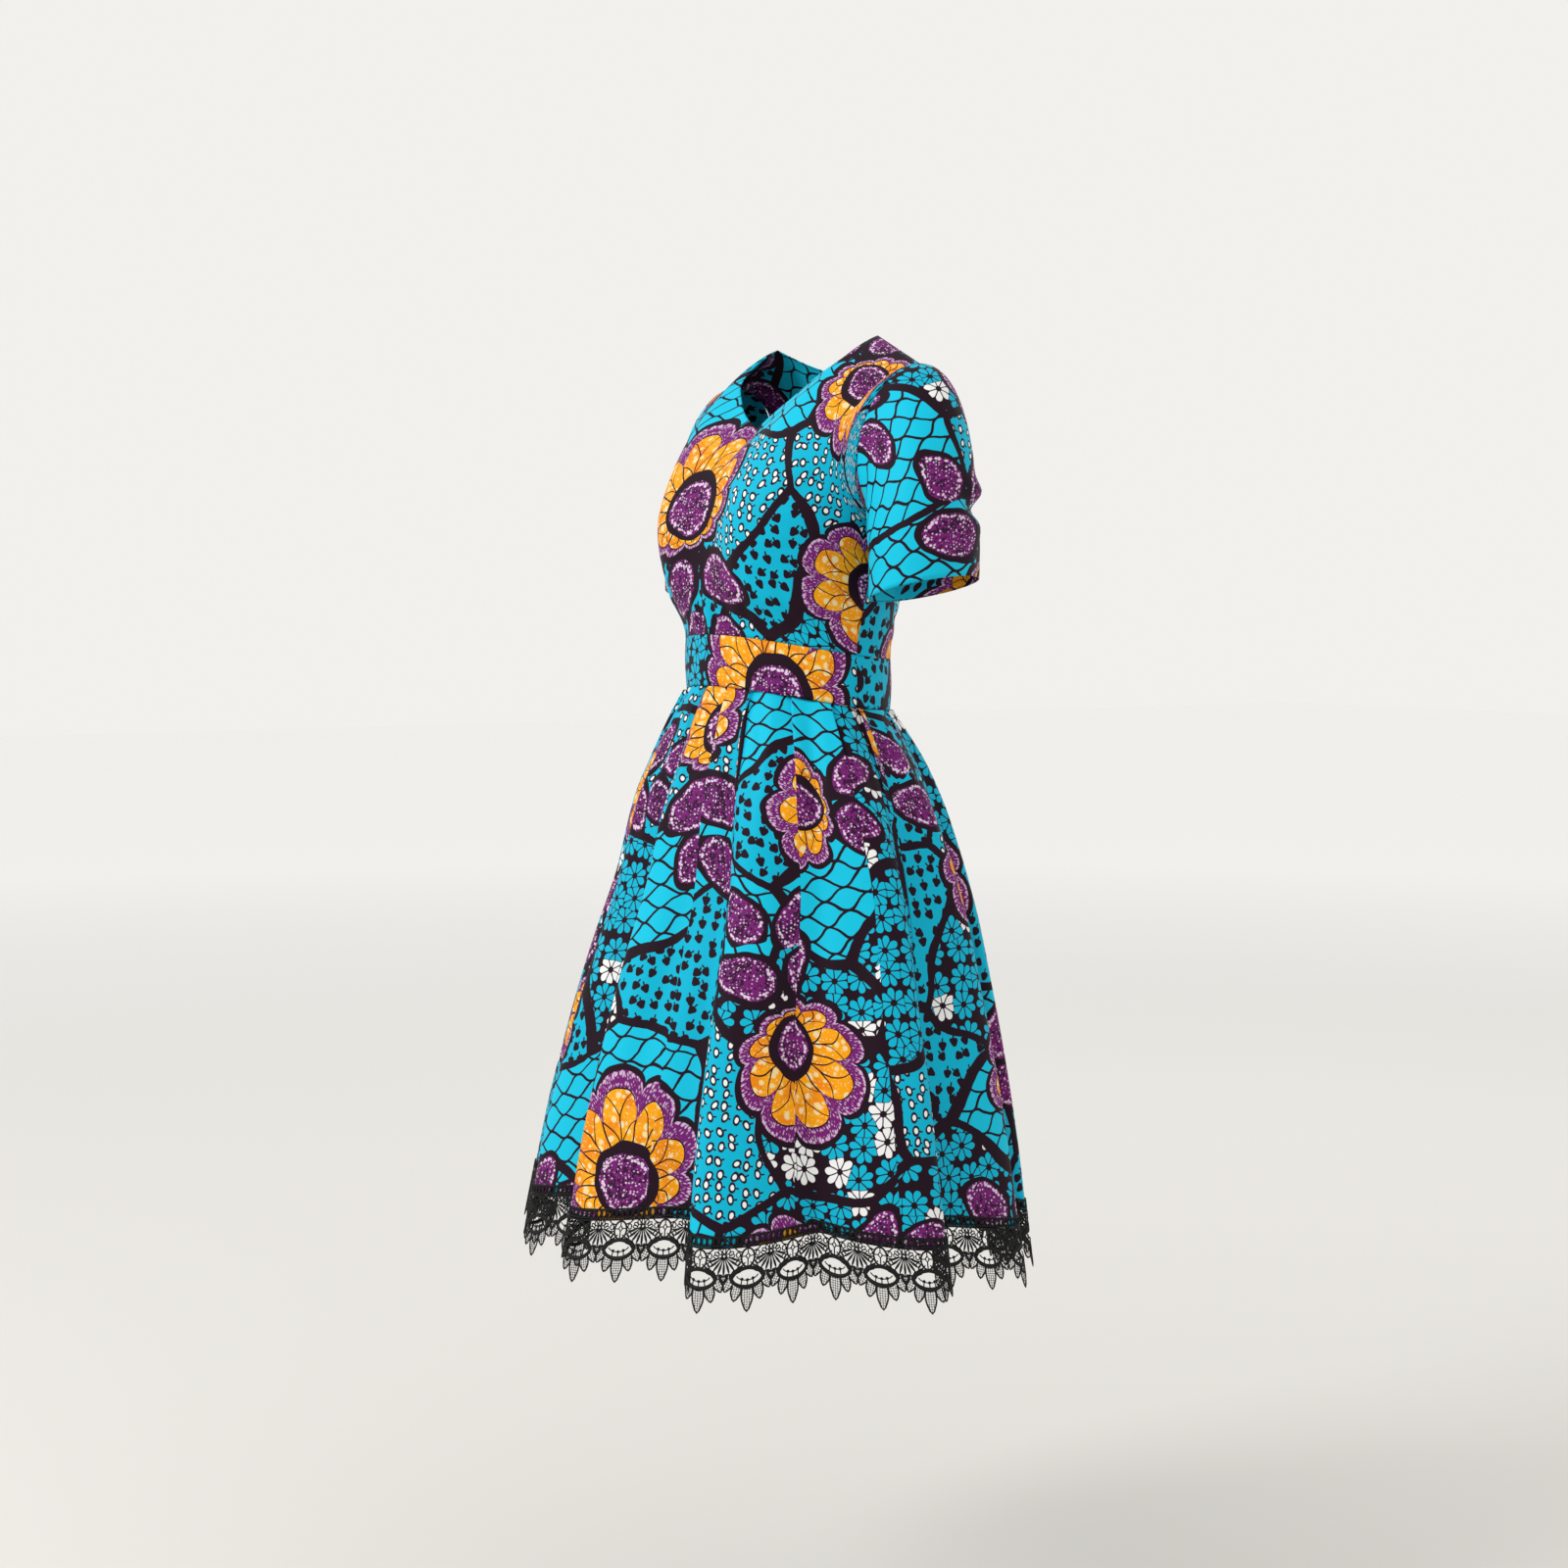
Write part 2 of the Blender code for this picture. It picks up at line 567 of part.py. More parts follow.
def lace_frames(columns):
    """Return, for each skirt column, its hem point, the outward direction and the way down."""
    frames = []
    for index, column in enumerate(columns):
        before = columns[index - 1][0]
        after = columns[(index + 1) % len(columns)][0]
        along_before = (column[0] - before).normalized()
        along_after = (after - column[0]).normalized()
        down = (column[0] - column[1]).normalized()
        outward = (along_before + along_after).cross(-down).normalized()
        narrowing = max(outward.dot(along_after.cross(-down).normalized()), LACE_MITRE_LIMIT)
        frames.append((column[0], outward / narrowing, down))
    return frames


def lace_columns(columns):
    """Return the lace columns round the hem, each from its lower edge up to its heading."""
    lift = SEAM_GAP + LACE_WALL
    result = []
    frames = lace_frames(columns)
    for index, (hem, outward, down) in enumerate(frames):
        station = LACE_STATIONS[index % FACETS_PER_REPEAT]
        along = (frames[(index + 1) % len(frames)][0] - hem).normalized()
        if station.tip_inset < 0.0:
            along = (hem - frames[index - 1][0]).normalized()
        rows = [hem + outward * lift + down * drop for drop in
                (station.heading, station.foot, station.eye_foot, station.bar, station.mouth_foot,
                 station.scallop)]
        tip = hem + outward * lift + down * station.tip + along * station.tip_inset
        rows.append(tip)
        result.append(list(reversed(rows)))
    return result


def build_lace(group, columns, left_seam):
    """Add the lace border in a front and a back stretch, with the gaps of each repeat cut through."""
    lace = lace_columns(columns)
    closed = lace + lace[:1]
    half_seam = 0.5 * SEAM_GAP
    for name, first, last in (("lace_front", 0, left_seam), ("lace_back", left_seam, HEM_FACETS)):
        open_cells = set()
        for facet in range(last - first):
            if (first + facet) % FACETS_PER_REPEAT == LACE_MOTIF_FACET:
                open_cells.update((facet, LACE_BOTTOM_ROW - row) for row in LACE_OPEN_ROWS)
            else:
                open_cells.add((facet, 0))
        panel = trim(closed[first:last + 1], half_seam, half_seam, 0.0, 0.0)
        add_wall(name, panel, make_material("thread_" + name, LACE_THREAD), group, LACE_WALL,
                 open_cells=open_cells)


def add_box(name, size, centre, group):
    """Add a box of this size about its centre."""
    bpy.ops.mesh.primitive_cube_add(size=1.0, location=centre)
    box = bpy.context.object
    box.name = name
    box.scale = size
    bpy.ops.object.transform_apply(location=False, rotation=False, scale=True)
    for owner in list(box.users_collection):
        owner.objects.unlink(box)
    group.objects.link(box)
    return box


def join_to(target, tool, cutters):
    """Unite a helper solid with a target through a Boolean modifier."""
    for owner in list(tool.users_collection):
        owner.objects.unlink(tool)
    cutters.objects.link(tool)
    tool.hide_render = True
    tool.display_type = "WIRE"
    union = target.modifiers.new("join_" + tool.name, "BOOLEAN")
    union.operation = "UNION"
    union.object = tool


def build_zip(group, cutters, back_edge):
    """Add the slider at the top of the centre-back seam and the pull tab that hangs from it."""
    top = back_edge[-1]
    below = back_edge[-2]
    down = Vector((0.0, below.y - top.y, below.z - top.z)).normalized()
    out = Vector((0.0, -down.z, down.y))
    seat = Vector((0.0, top.y, top.z)) + down * (ZIP_TOP_GAP + 0.5 * SLIDER_LENGTH) + out * SEAM_GAP
    lean = math.atan2(down.y, -down.z)
    turn = Matrix.Rotation(lean, 4, "X")
    metal = make_material("zip_slider", ZIP_METAL)
    slider = add_box("zip_slider", (SLIDER_WIDTH, SLIDER_DEPTH, SLIDER_LENGTH),
                     (0.0, 0.5 * SLIDER_DEPTH, 0.0), group)
    slider.data.materials.append(metal)
    bevel = slider.modifiers.new("soft_edges", "BEVEL")
    bevel.width = SLIDER_EDGE
    bevel.segments = SLIDER_EDGE_SEGMENTS
    axis_offset = SLIDER_DEPTH + SEAM_GAP + BARREL_RADIUS
    cheek_x = 0.5 * BARREL_LENGTH + SEAM_GAP + 0.5 * CHEEK_WIDTH
    place = Matrix.Translation(seat) @ turn
    for side in (-1.0, 1.0):
        cheek = add_box("cheek_%s" % ("right" if side < 0 else "left"),
                        (CHEEK_WIDTH, CHEEK_HEIGHT + CHEEK_SINK, CHEEK_LENGTH),
                        (side * cheek_x, SLIDER_DEPTH + 0.5 * (CHEEK_HEIGHT - CHEEK_SINK), 0.0), group)
        cheek.matrix_world = place @ cheek.matrix_world
        join_to(slider, cheek, cutters)
    slider.matrix_world = place @ slider.matrix_world
    build_pull(group, cutters, place, axis_offset)


def build_pull(group, cutters, place, axis_offset):
    """Add the pull tab, whose origin lies on its hinge axis between the slider's cheeks."""
    outline = bpy.data.curves.new("zip_pull_outline", "CURVE")
    outline.dimensions = "2D"
    outline.fill_mode = "BOTH"
    outline.extrude = 0.5 * PULL_THICKNESS - PULL_EDGE
    outline.bevel_depth = PULL_EDGE
    outline.bevel_resolution = 1
    outline.offset = -PULL_EDGE
    spline = outline.splines.new("POLY")
    end_radius = 0.5 * PULL_END_WIDTH
    half_neck = 0.5 * PULL_NECK_WIDTH
    neck_end = -PULL_NECK_SHARE * PULL_LENGTH
    corners = [(half_neck, 0.0), (half_neck, neck_end)]
    for step in range(PULL_END_STEPS + 1):
        turn = math.pi * step / PULL_END_STEPS
        corners.append((end_radius * math.cos(turn), -PULL_LENGTH + end_radius * (1.0 - math.sin(turn))))
    corners += [(-half_neck, neck_end), (-half_neck, 0.0)]
    spline.points.add(len(corners) - 1)
    for point, (x, y) in zip(spline.points, corners):
        point.co = (x, y, 0.0, 1.0)
    spline.use_cyclic_u = True
    guide = bpy.data.objects.new("zip_pull_guide", outline)
    group.objects.link(guide)
    evaluated = guide.evaluated_get(bpy.context.evaluated_depsgraph_get())
    mesh = bpy.data.meshes.new_from_object(evaluated)
    bpy.data.objects.remove(guide)
    shape = bmesh.new()
    shape.from_mesh(mesh)
    bmesh.ops.remove_doubles(shape, verts=shape.verts, dist=WELD_DISTANCE)
    bmesh.ops.recalc_face_normals(shape, faces=shape.faces)
    shape.to_mesh(mesh)
    shape.free()
    pull = bpy.data.objects.new("zip_pull", mesh)
    group.objects.link(pull)
    mesh.materials.clear()
    mesh.materials.append(make_material("zip_pull", ZIP_METAL))
    hinge = place @ Matrix.Translation((0.0, axis_offset, 0.0))
    pull.matrix_world = hinge @ Matrix.Rotation(math.radians(90.0), 4, "X")
    bpy.ops.mesh.primitive_cylinder_add(vertices=PIN_SEGMENTS, radius=BARREL_RADIUS, depth=BARREL_LENGTH,
                                        rotation=(0.0, math.radians(90.0), 0.0))
    barrel = bpy.context.object
    barrel.name = "pull_barrel"
    barrel.matrix_world = hinge @ barrel.matrix_world
    join_to(pull, barrel, cutters)


def main():
    """Build the dress from top to hem."""
    clear_scene()
    group = new_collection(COLLECTION)
    cutters = new_collection(CUTTERS)
    back_left = build_bodice(group)
    build_sleeves(group)
    build_waistband(group)
    positions = hem_positions()
    columns = skirt_columns(positions)
    left_seam = bisect.bisect_left(positions, LEFT_SEAM)
    back_seam = bisect.bisect_left(positions, BACK_SEAM)
    build_skirt(group, columns, left_seam, back_seam)
    build_lace(group, columns, left_seam)
    build_zip(group, cutters, back_left[-1])


main()
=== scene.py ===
"""A knee-length fit-and-flare dress in wax-printed cotton with a corded lace border, in its worn form.

Units are metres and +Z is up. The front faces -Y and the wearer's left side is +X.
Angles run round the body from centre front (0) over the left side (90) to centre back (180).
"""
import bisect
import logging
import math
from collections import namedtuple
from dataclasses import dataclass
from enum import Enum

import bpy
import numpy as np
from mathutils import Matrix, Vector


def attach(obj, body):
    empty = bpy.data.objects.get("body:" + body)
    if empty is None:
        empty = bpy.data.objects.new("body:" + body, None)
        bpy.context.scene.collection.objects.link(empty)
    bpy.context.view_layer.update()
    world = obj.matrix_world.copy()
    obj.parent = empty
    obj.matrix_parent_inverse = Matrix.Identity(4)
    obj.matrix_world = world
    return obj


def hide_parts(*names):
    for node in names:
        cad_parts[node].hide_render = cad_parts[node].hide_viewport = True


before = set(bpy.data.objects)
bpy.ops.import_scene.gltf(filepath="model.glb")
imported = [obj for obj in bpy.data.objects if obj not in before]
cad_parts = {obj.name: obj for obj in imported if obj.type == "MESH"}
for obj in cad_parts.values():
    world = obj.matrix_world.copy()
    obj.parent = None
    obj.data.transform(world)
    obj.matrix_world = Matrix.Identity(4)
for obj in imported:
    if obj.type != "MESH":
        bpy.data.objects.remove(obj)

LOG = logging.getLogger("dress")
TINY = 1e-12

# Cloth
CLOTH_THICKNESS = 0.0007
SEAM_PULL = 0.00015
TURN_IN = 0.0022
EDGE_ROLL = 0.0011

# Torso rings, from the waist seam up to the chest
TorsoLevel = namedtuple("TorsoLevel", "height half_width front_depth back_depth centre_y")
TORSO = tuple(TorsoLevel(*row) for row in (
    (-0.400, 0.1250, 0.095, 0.095, -0.036),
    (-0.340, 0.1250, 0.095, 0.095, -0.036),
    (-0.295, 0.1260, 0.096, 0.096, -0.036),
    (-0.250, 0.1320, 0.100, 0.099, -0.031),
    (-0.205, 0.1410, 0.100, 0.104, -0.024),
    (-0.165, 0.1470, 0.099, 0.106, -0.018),
    (-0.120, 0.1490, 0.097, 0.103, -0.013),
    (-0.080, 0.1490, 0.094, 0.099, -0.010),
))
BUST_X = 0.085
BUST_HEIGHT = -0.165
BUST_PUSH = 0.041
BUST_SPREAD_X = 0.046
BUST_SPREAD_UP = 0.050
BUST_SPREAD_DOWN = 0.064
BUST_FADE = 0.045
BUST_TURN_RATE = 2.2

# Tucks let into the front waist seam
TUCK_SPACING = 0.024
TUCK_REACH_X = 0.066
TUCK_HEIGHT = 0.062
TUCK_DEPTH = 0.0030
TUCK_RISE_RATE = 5.0

# Waistband
BAND_SIDE_HEIGHT = -0.303
BAND_TILT = 0.0125
BAND_FRONT_LIFT = 0.0075
BAND_WIDTH = 0.052
BAND_BULGE = 0.0012
BAND_ROWS = 14
BAND_COLUMNS = 220

# Top edge of the bodice: the point, and how far before it the cloth starts to turn
EdgePoint = namedtuple("EdgePoint", "x y z lead_x lead_y lead_z")
NECK_FRONT = tuple(EdgePoint(*row) for row in (
    (0.000, -0.073, -0.074, 0.000, -0.014, -0.022),
    (0.026, -0.070, -0.060, 0.001, -0.017, -0.024),
    (0.050, -0.060, -0.043, 0.002, -0.023, -0.025),
    (0.074, -0.045, -0.022, 0.002, -0.030, -0.025),
    (0.088, -0.018, -0.001, 0.001, -0.042, -0.023),
    (0.092, 0.012, 0.017, 0.000, -0.050, -0.018),
))
NECK_BACK = tuple(EdgePoint(*row) for row in (
    (0.000, 0.064, -0.014, 0.000, 0.008, -0.028),
    (0.022, 0.063, -0.013, 0.000, 0.009, -0.028),
    (0.050, 0.057, -0.009, 0.000, 0.013, -0.026),
    (0.080, 0.040, 0.003, 0.000, 0.024, -0.022),
    (0.092, 0.012, 0.017, 0.000, 0.042, -0.016),
))
SHOULDER_TIP = Vector((0.165, 0.0105, -0.0165))
SHOULDER_LEAD_FRONT = Vector((-0.010, -0.046, -0.012))
SHOULDER_LEAD_BACK = Vector((-0.010, 0.044, -0.010))
ARMHOLE_LEAD_SIDE = Vector((-0.012, 0.016, -0.020))
UNDERARM_LEAD = Vector((0.000, 0.000, -0.012))
UNDERARM_HEIGHT = -0.160
UNDERARM_Y = -0.0175
ARMHOLE_X = 0.1490
ARMHOLE_TOP_REACH = 0.016
ARMHOLE_HALF_DEPTH = 0.050

# Chest ring and how finely the bodice is divided
CHEST_FRONT_HEIGHT = -0.130
CHEST_SIDE_DROP = 0.050
NECK_CHEST_ANGLE = 37.0
SHOULDER_CHEST_ANGLE = 55.0
NECK_COLUMNS = 40
SHOULDER_COLUMNS = 12
ARMHOLE_COLUMNS = 30
LOWER_ROWS = 40
YOKE_ROWS = 34
YOKE_CURVE = 0.36
CHEST_SLOPE_STEP = 0.010

# Sleeve
SLEEVE_CENTRE = Vector((0.1935, -0.004, -0.238))
SLEEVE_RADIUS_X = 0.050
SLEEVE_RADIUS_Y = 0.056
SLEEVE_TILT_SIDE = 0.012
SLEEVE_TILT_FRONT = -0.004
SLEEVE_COLUMNS = 132
SLEEVE_ROWS = 56
SLEEVE_SEAM_CLEARANCE = 0.0012
SLEEVE_UNDERARM_DROP = 0.0003
CapLead = namedtuple("CapLead", "under_x over_x under_z over_z")
SLEEVE_LEAVE = CapLead(0.004, 0.046, -0.034, 0.030)
SLEEVE_ARRIVE = CapLead(0.000, 0.004, 0.034, 0.075)
SLEEVE_PRINT_ANGLE = 30.0
METRES_PER_DEGREE = 0.001

# Skirt: rings that fall from the band, as shares of the drop
SkirtLevel = namedtuple("SkirtLevel", "share half_width half_depth centre_y fold_share")
SKIRT = tuple(SkirtLevel(*row) for row in (
    (0.000, 0.1275, 0.0975, -0.036, 0.00),
    (0.045, 0.1420, 0.1110, -0.035, 0.06),
    (0.120, 0.1640, 0.1310, -0.033, 0.18),
    (0.220, 0.1880, 0.1530, -0.033, 0.34),
    (0.380, 0.2110, 0.1760, -0.031, 0.52),
    (0.540, 0.2320, 0.1990, -0.037, 0.68),
    (0.700, 0.2520, 0.2200, -0.043, 0.82),
    (0.850, 0.2670, 0.2370, -0.048, 0.92),
    (1.000, 0.2790, 0.2500, -0.052, 1.00),
))
HEM_HEIGHT = -0.857
HEM_TILT = 0.010
HEM_TILT_ANGLE = -34.0
HEM_CREST_DROP = 0.006
SEAM_GAP = 0.0003
SKIRT_ROWS = 84

# Skirt folds: crest angle at band and hem, half depth at band and hem, sideways lean at the hem
Fold = namedtuple("Fold", "waist_angle hem_angle waist_depth hem_depth lean")
FOLDS = tuple(Fold(*row) for row in (
    (-18.0, -15.0, 0.0020, 0.016, -0.017),
    (3.0, 7.0, 0.0025, 0.019, -0.018),
    (38.0, 43.0, 0.0030, 0.024, -0.022),
    (79.0, 87.0, 0.0030, 0.021, 0.021),
    (112.0, 120.0, 0.0025, 0.020, 0.014),
    (140.0, 145.0, 0.0025, 0.023, -0.018),
    (166.0, 169.0, 0.0020, 0.019, 0.016),
    (195.0, 197.0, 0.0030, 0.022, -0.019),
    (228.0, 231.0, 0.0025, 0.020, 0.018),
    (262.0, 263.0, 0.0030, 0.023, -0.017),
    (291.0, 292.0, 0.0025, 0.019, 0.015),
    (318.0, 319.0, 0.0025, 0.020, -0.016),
))
FOLD_PROFILE_STEPS = 1920
FOLD_ANGLE = 360.0 / len(FOLDS)
RIGHT_SEAM = -2.5
LEFT_SEAM = 3.5
BACK_SEAM = 6.5

# Knife pleats let into the band: place in folds, share of the drop where they fade, depth, side beneath
Pleat = namedtuple("Pleat", "place fade_share depth under")
PLEATS = tuple(Pleat(*row) for row in (
    (-2.06, 0.22, 0.0030, 1), (-1.60, 0.20, 0.0032, -1), (-0.917, 0.20, 0.0030, 1),
    (-0.25, 0.26, 0.0030, 1), (0.476, 0.30, 0.0034, 1), (1.31, 0.30, 0.0032, -1),
    (1.72, 0.36, 0.0040, 1), (2.32, 0.18, 0.0026, -1), (2.85, 0.26, 0.0038, 1),
    (3.39, 0.30, 0.0038, -1), (4.42, 0.26, 0.0034, -1), (5.60, 0.30, 0.0034, 1),
    (6.70, 0.24, 0.0030, -1), (7.58, 0.30, 0.0038, 1), (8.52, 0.26, 0.0034, -1),
))
PLEAT_STEP = 0.0012
PLEAT_RECOVER = 0.016
PLEAT_GAIN = 1.35
PLEAT_LIFT = 0.30
PLEAT_REACH = 0.9

# Lace
LACE_REPEATS = 44
FACETS_PER_REPEAT = 18
HEM_FACETS = LACE_REPEATS * FACETS_PER_REPEAT
LACE_LIFT = 0.0011
LACE_HEIGHT = 0.0006
LACE_SIDES = 5
LACE_WIDTH = 0.072
MILLIMETRE = 0.001

# Sizes in the print: soft edges, the outlined fields, the daisies, the flowers' petals and the dots
PRINT_EDGE = 0.0002
FIELD_PITCH, FIELD_SCATTER = 0.140, 0.88
DAISY_PITCH, DAISY_SCATTER, DAISY_PETALS = 0.0270, 0.42, 8.0
PETAL_RATE = 1.62
DOT_SCATTER = 0.95

# Studio: the floor's colours near and far, the near one painted darker as shade against the key light's pool
# of light, and the camera with the dress's place in the photograph
FLOOR_NEAR_PAINTED_SHADE = (0.680, 0.668, 0.640, 1.0)
FLOOR_FAR = (0.985, 0.985, 0.985, 1.0)
PHOTO_PIXELS = 1600.0
FOCAL_PIXELS = 2696.0
DRESS_COLUMN, DRESS_ROW = 833.0, 620.0
SENSOR_WIDTH = 36.0
CAMERA_AZIMUTH = 56.0
CAMERA_DISTANCE = 2.75
CAMERA_HEIGHT = -0.256
LIGHTS_AIM = -0.45

# Creases pressed or pulled into the cloth: the places they run through, then width and depth in
# millimetres, ridges with a depth below zero
Crease = namedtuple("Crease", "places width depth")
CREASE_RIM = 0.35
CREASE_RIM_REACH = 2.2
CREASE_TAPER = 1.3
CREASE_END = 0.12
CREASE_STEPS = 10


def read_creases(*rows) -> tuple:
    """Return the creases of a piece in metres."""
    return tuple(Crease(places, MILLIMETRE * width, MILLIMETRE * depth)
                 for *places, width, depth in rows)


BODICE_FRONT_CREASES = read_creases(
    ((0.142, -0.178), (0.12, -0.196), (0.096, -0.206), 5.5, 1.1),
    ((0.138, -0.214), (0.112, -0.216), (0.088, -0.222), 4.8, 0.8),
    ((-0.141, -0.184), (-0.118, -0.199), (-0.095, -0.21), 5.8, 1.0),
    ((0.135, -0.12), (0.122, -0.142), (0.104, -0.158), 6.0, 1.0),
    ((-0.136, -0.116), (-0.12, -0.137), (-0.106, -0.152), 5.6, 0.9),
    ((0.072, -0.212), (0.066, -0.244), (0.06, -0.276), 4.2, 1.2),
    ((-0.078, -0.218), (-0.07, -0.246), (-0.062, -0.274), 4.4, 1.1),
    ((0.1, -0.228), (0.104, -0.254), (0.103, -0.288), 4.0, 1.0),
    ((-0.106, -0.232), (-0.102, -0.262), (-0.099, -0.286), 4.6, 0.9),
    ((0.018, -0.132), (0.0, -0.14), (-0.026, -0.137), 6.5, 0.9),
    ((0.122, -0.292), (0.096, -0.284), (0.078, -0.28), 3.5, -0.6),
    ((-0.118, -0.29), (-0.09, -0.281), 3.6, -0.5),
)
BODICE_BACK_CREASES = read_creases(
    ((0.128, -0.176), (0.098, -0.19), (0.064, -0.194), 5.8, 1.2),
    ((0.118, -0.216), (0.086, -0.224), (0.05, -0.222), 5.0, 1.0),
    ((0.112, -0.262), (0.08, -0.268), (0.034, -0.262), 4.4, 1.2),
    ((0.096, -0.282), (0.06, -0.286), (0.02, -0.283), 3.6, -0.9),
    ((0.14, -0.1), (0.118, -0.12), (0.088, -0.126), 6.4, 1.0),
    ((0.07, -0.06), (0.046, -0.074), (0.016, -0.08), 7.0, 0.7),
)
SLEEVE_CREASES = read_creases(
    ((272.0, -0.146), (300.0, -0.16), (330.0, -0.158), (352.0, -0.148), 7.5, 8.5),
    ((282.0, -0.136), (306.0, -0.143), (330.0, -0.138), 9.0, -2.2),
    ((262.0, -0.172), (286.0, -0.181), (312.0, -0.178), 8.0, 2.2),
    ((208.0, -0.166), (236.0, -0.172), (258.0, -0.164), 6.0, 2.0),
    ((196.0, -0.186), (230.0, -0.196), (262.0, -0.192), 6.0, 1.4),
    ((96.0, -0.12), (120.0, -0.146), (148.0, -0.16), 5.8, 1.8),
    ((112.0, -0.15), (140.0, -0.176), (172.0, -0.186), 6.0, 1.4),
    ((60.0, -0.072), (66.0, -0.11), (64.0, -0.15), 8.0, 1.0),
    ((20.0, -0.06), (16.0, -0.096), (8.0, -0.136), 8.5, 0.8),
    ((312.0, -0.2), (318.0, -0.222), (320.0, -0.24), 7.0, 1.2),
)
SKIRT_CREASES = read_creases(
    ((0.1, 0.03), (0.14, 0.14), (0.12, 0.3), 6.0, 2.7),
    ((0.8, 0.02), (0.9, 0.13), (0.93, 0.24), 5.0, 3.1),
    ((1.08, 0.02), (1.12, 0.11), (1.14, 0.22), 4.6, 2.4),
    ((1.52, 0.02), (1.56, 0.16), (1.6, 0.33), 6.0, 3.4),
    ((1.95, 0.02), (1.98, 0.1), (2.0, 0.26), 5.2, 2.4),
    ((2.55, 0.02), (2.52, 0.14), (2.5, 0.28), 5.6, 2.9),
    ((3.1, 0.02), (3.08, 0.12), (3.04, 0.3), 6.0, 2.6),
    ((-0.6, 0.02), (-0.58, 0.13), (-0.55, 0.27), 5.6, 2.7),
    ((-1.3, 0.02), (-1.26, 0.1), (-1.24, 0.25), 5.8, 2.4),
    ((-1.85, 0.02), (-1.83, 0.12), (-1.8, 0.24), 5.0, 2.7),
    ((0.3, 0.34), (0.34, 0.5), (0.33, 0.68), 12.0, 3.7),
    ((1.3, 0.38), (1.26, 0.56), (1.22, 0.8), 14.0, 4.4),
    ((2.25, 0.32), (2.3, 0.52), (2.34, 0.74), 13.0, 3.7),
    ((2.78, 0.4), (2.74, 0.6), (2.72, 0.86), 12.0, 3.4),
    ((-0.8, 0.36), (-0.76, 0.55), (-0.7, 0.78), 13.0, 3.7),
    ((-1.5, 0.4), (-1.46, 0.58), (-1.44, 0.72), 12.0, 3.1),
    ((4.0, 0.02), (4.02, 0.13), (4.05, 0.27), 5.6, 2.7),
    ((4.8, 0.02), (4.78, 0.1), (4.76, 0.24), 5.0, 2.6),
    ((5.2, 0.02), (5.22, 0.15), (5.26, 0.3), 6.0, 3.1),
    ((6.1, 0.02), (6.12, 0.12), (6.16, 0.22), 4.8, 2.2),
    ((7.1, 0.02), (7.08, 0.13), (7.02, 0.28), 5.6, 2.9),
    ((8.05, 0.02), (8.08, 0.12), (8.12, 0.25), 5.2, 2.6),
    ((8.95, 0.02), (8.98, 0.14), (9.02, 0.3), 6.0, 3.1),
    ((4.55, 0.38), (4.5, 0.58), (4.46, 0.78), 13.0, 3.7),
    ((5.75, 0.35), (5.72, 0.52), (5.66, 0.72), 12.0, 4.1),
    ((7.4, 0.4), (7.44, 0.62), (7.46, 0.84), 13.0, 3.4),
    ((8.35, 0.36), (8.3, 0.55), (8.28, 0.7), 12.0, 3.7),
)


def bell(distance: float, spread: float) -> float:
    """Return a bell curve of height 1 at distance 0."""
    return math.exp(-0.5 * (distance / spread) ** 2)


def smooth(value: float) -> float:
    """Return a soft step from 0 to 1 as the value goes from 0 to 1."""
    value = min(max(value, 0.0), 1.0)
    return value * value * (3.0 - 2.0 * value)


def read_table(table, key: float):
    """Return a table row at this key, read on a smooth curve over the first column."""
    keys = [row[0] for row in table]
    upper = min(max(bisect.bisect_right(keys, key), 1), len(keys) - 1)
    rows = [table[min(max(upper + step, 0), len(table) - 1)] for step in (-2, -1, 0, 1)]
    span = rows[2][0] - rows[1][0]
    share = min(max((key - rows[1][0]) / span, 0.0), 1.0)
    values = []
    for before, start, end, after in zip(*rows):
        slope_start = (end - before) * span / max(rows[2][0] - rows[0][0], span)
        slope_end = (after - start) * span / max(rows[3][0] - rows[1][0], span)
        values.append((2 * share ** 3 - 3 * share ** 2 + 1) * start
                      + (share ** 3 - 2 * share ** 2 + share) * slope_start
                      + (3 * share ** 2 - 2 * share ** 3) * end
                      + (share ** 3 - share ** 2) * slope_end)
    return type(table[0])(*values)


def along_points(points, share: float) -> list:
    """Return the values at this share of a row of points, on a smooth curve through them."""
    place = share * (len(points) - 1)
    index = min(int(place), len(points) - 2)
    part = place - index
    rows = [points[min(max(index + step, 0), len(points) - 1)] for step in (-1, 0, 1, 2)]
    return [0.5 * (2 * b + (c - a) * part + (2 * a - 5 * b + 4 * c - d) * part ** 2
                   + (3 * b - a - 3 * c + d) * part ** 3) for a, b, c, d in zip(*rows)]


def bezier(first: Vector, second: Vector, third: Vector, fourth: Vector, share: float) -> Vector:
    """Return the point at this share of a cubic curve."""
    rest = 1.0 - share
    return (first * rest ** 3 + second * (3 * rest ** 2 * share)
            + third * (3 * rest * share ** 2) + fourth * share ** 3)


def band_top_height(angle: float) -> float:
    """Return the height of the waist seam, at an angle round the body."""
    turn = math.cos(math.radians(angle))
    return BAND_SIDE_HEIGHT + BAND_TILT * turn + BAND_FRONT_LIFT * turn * turn


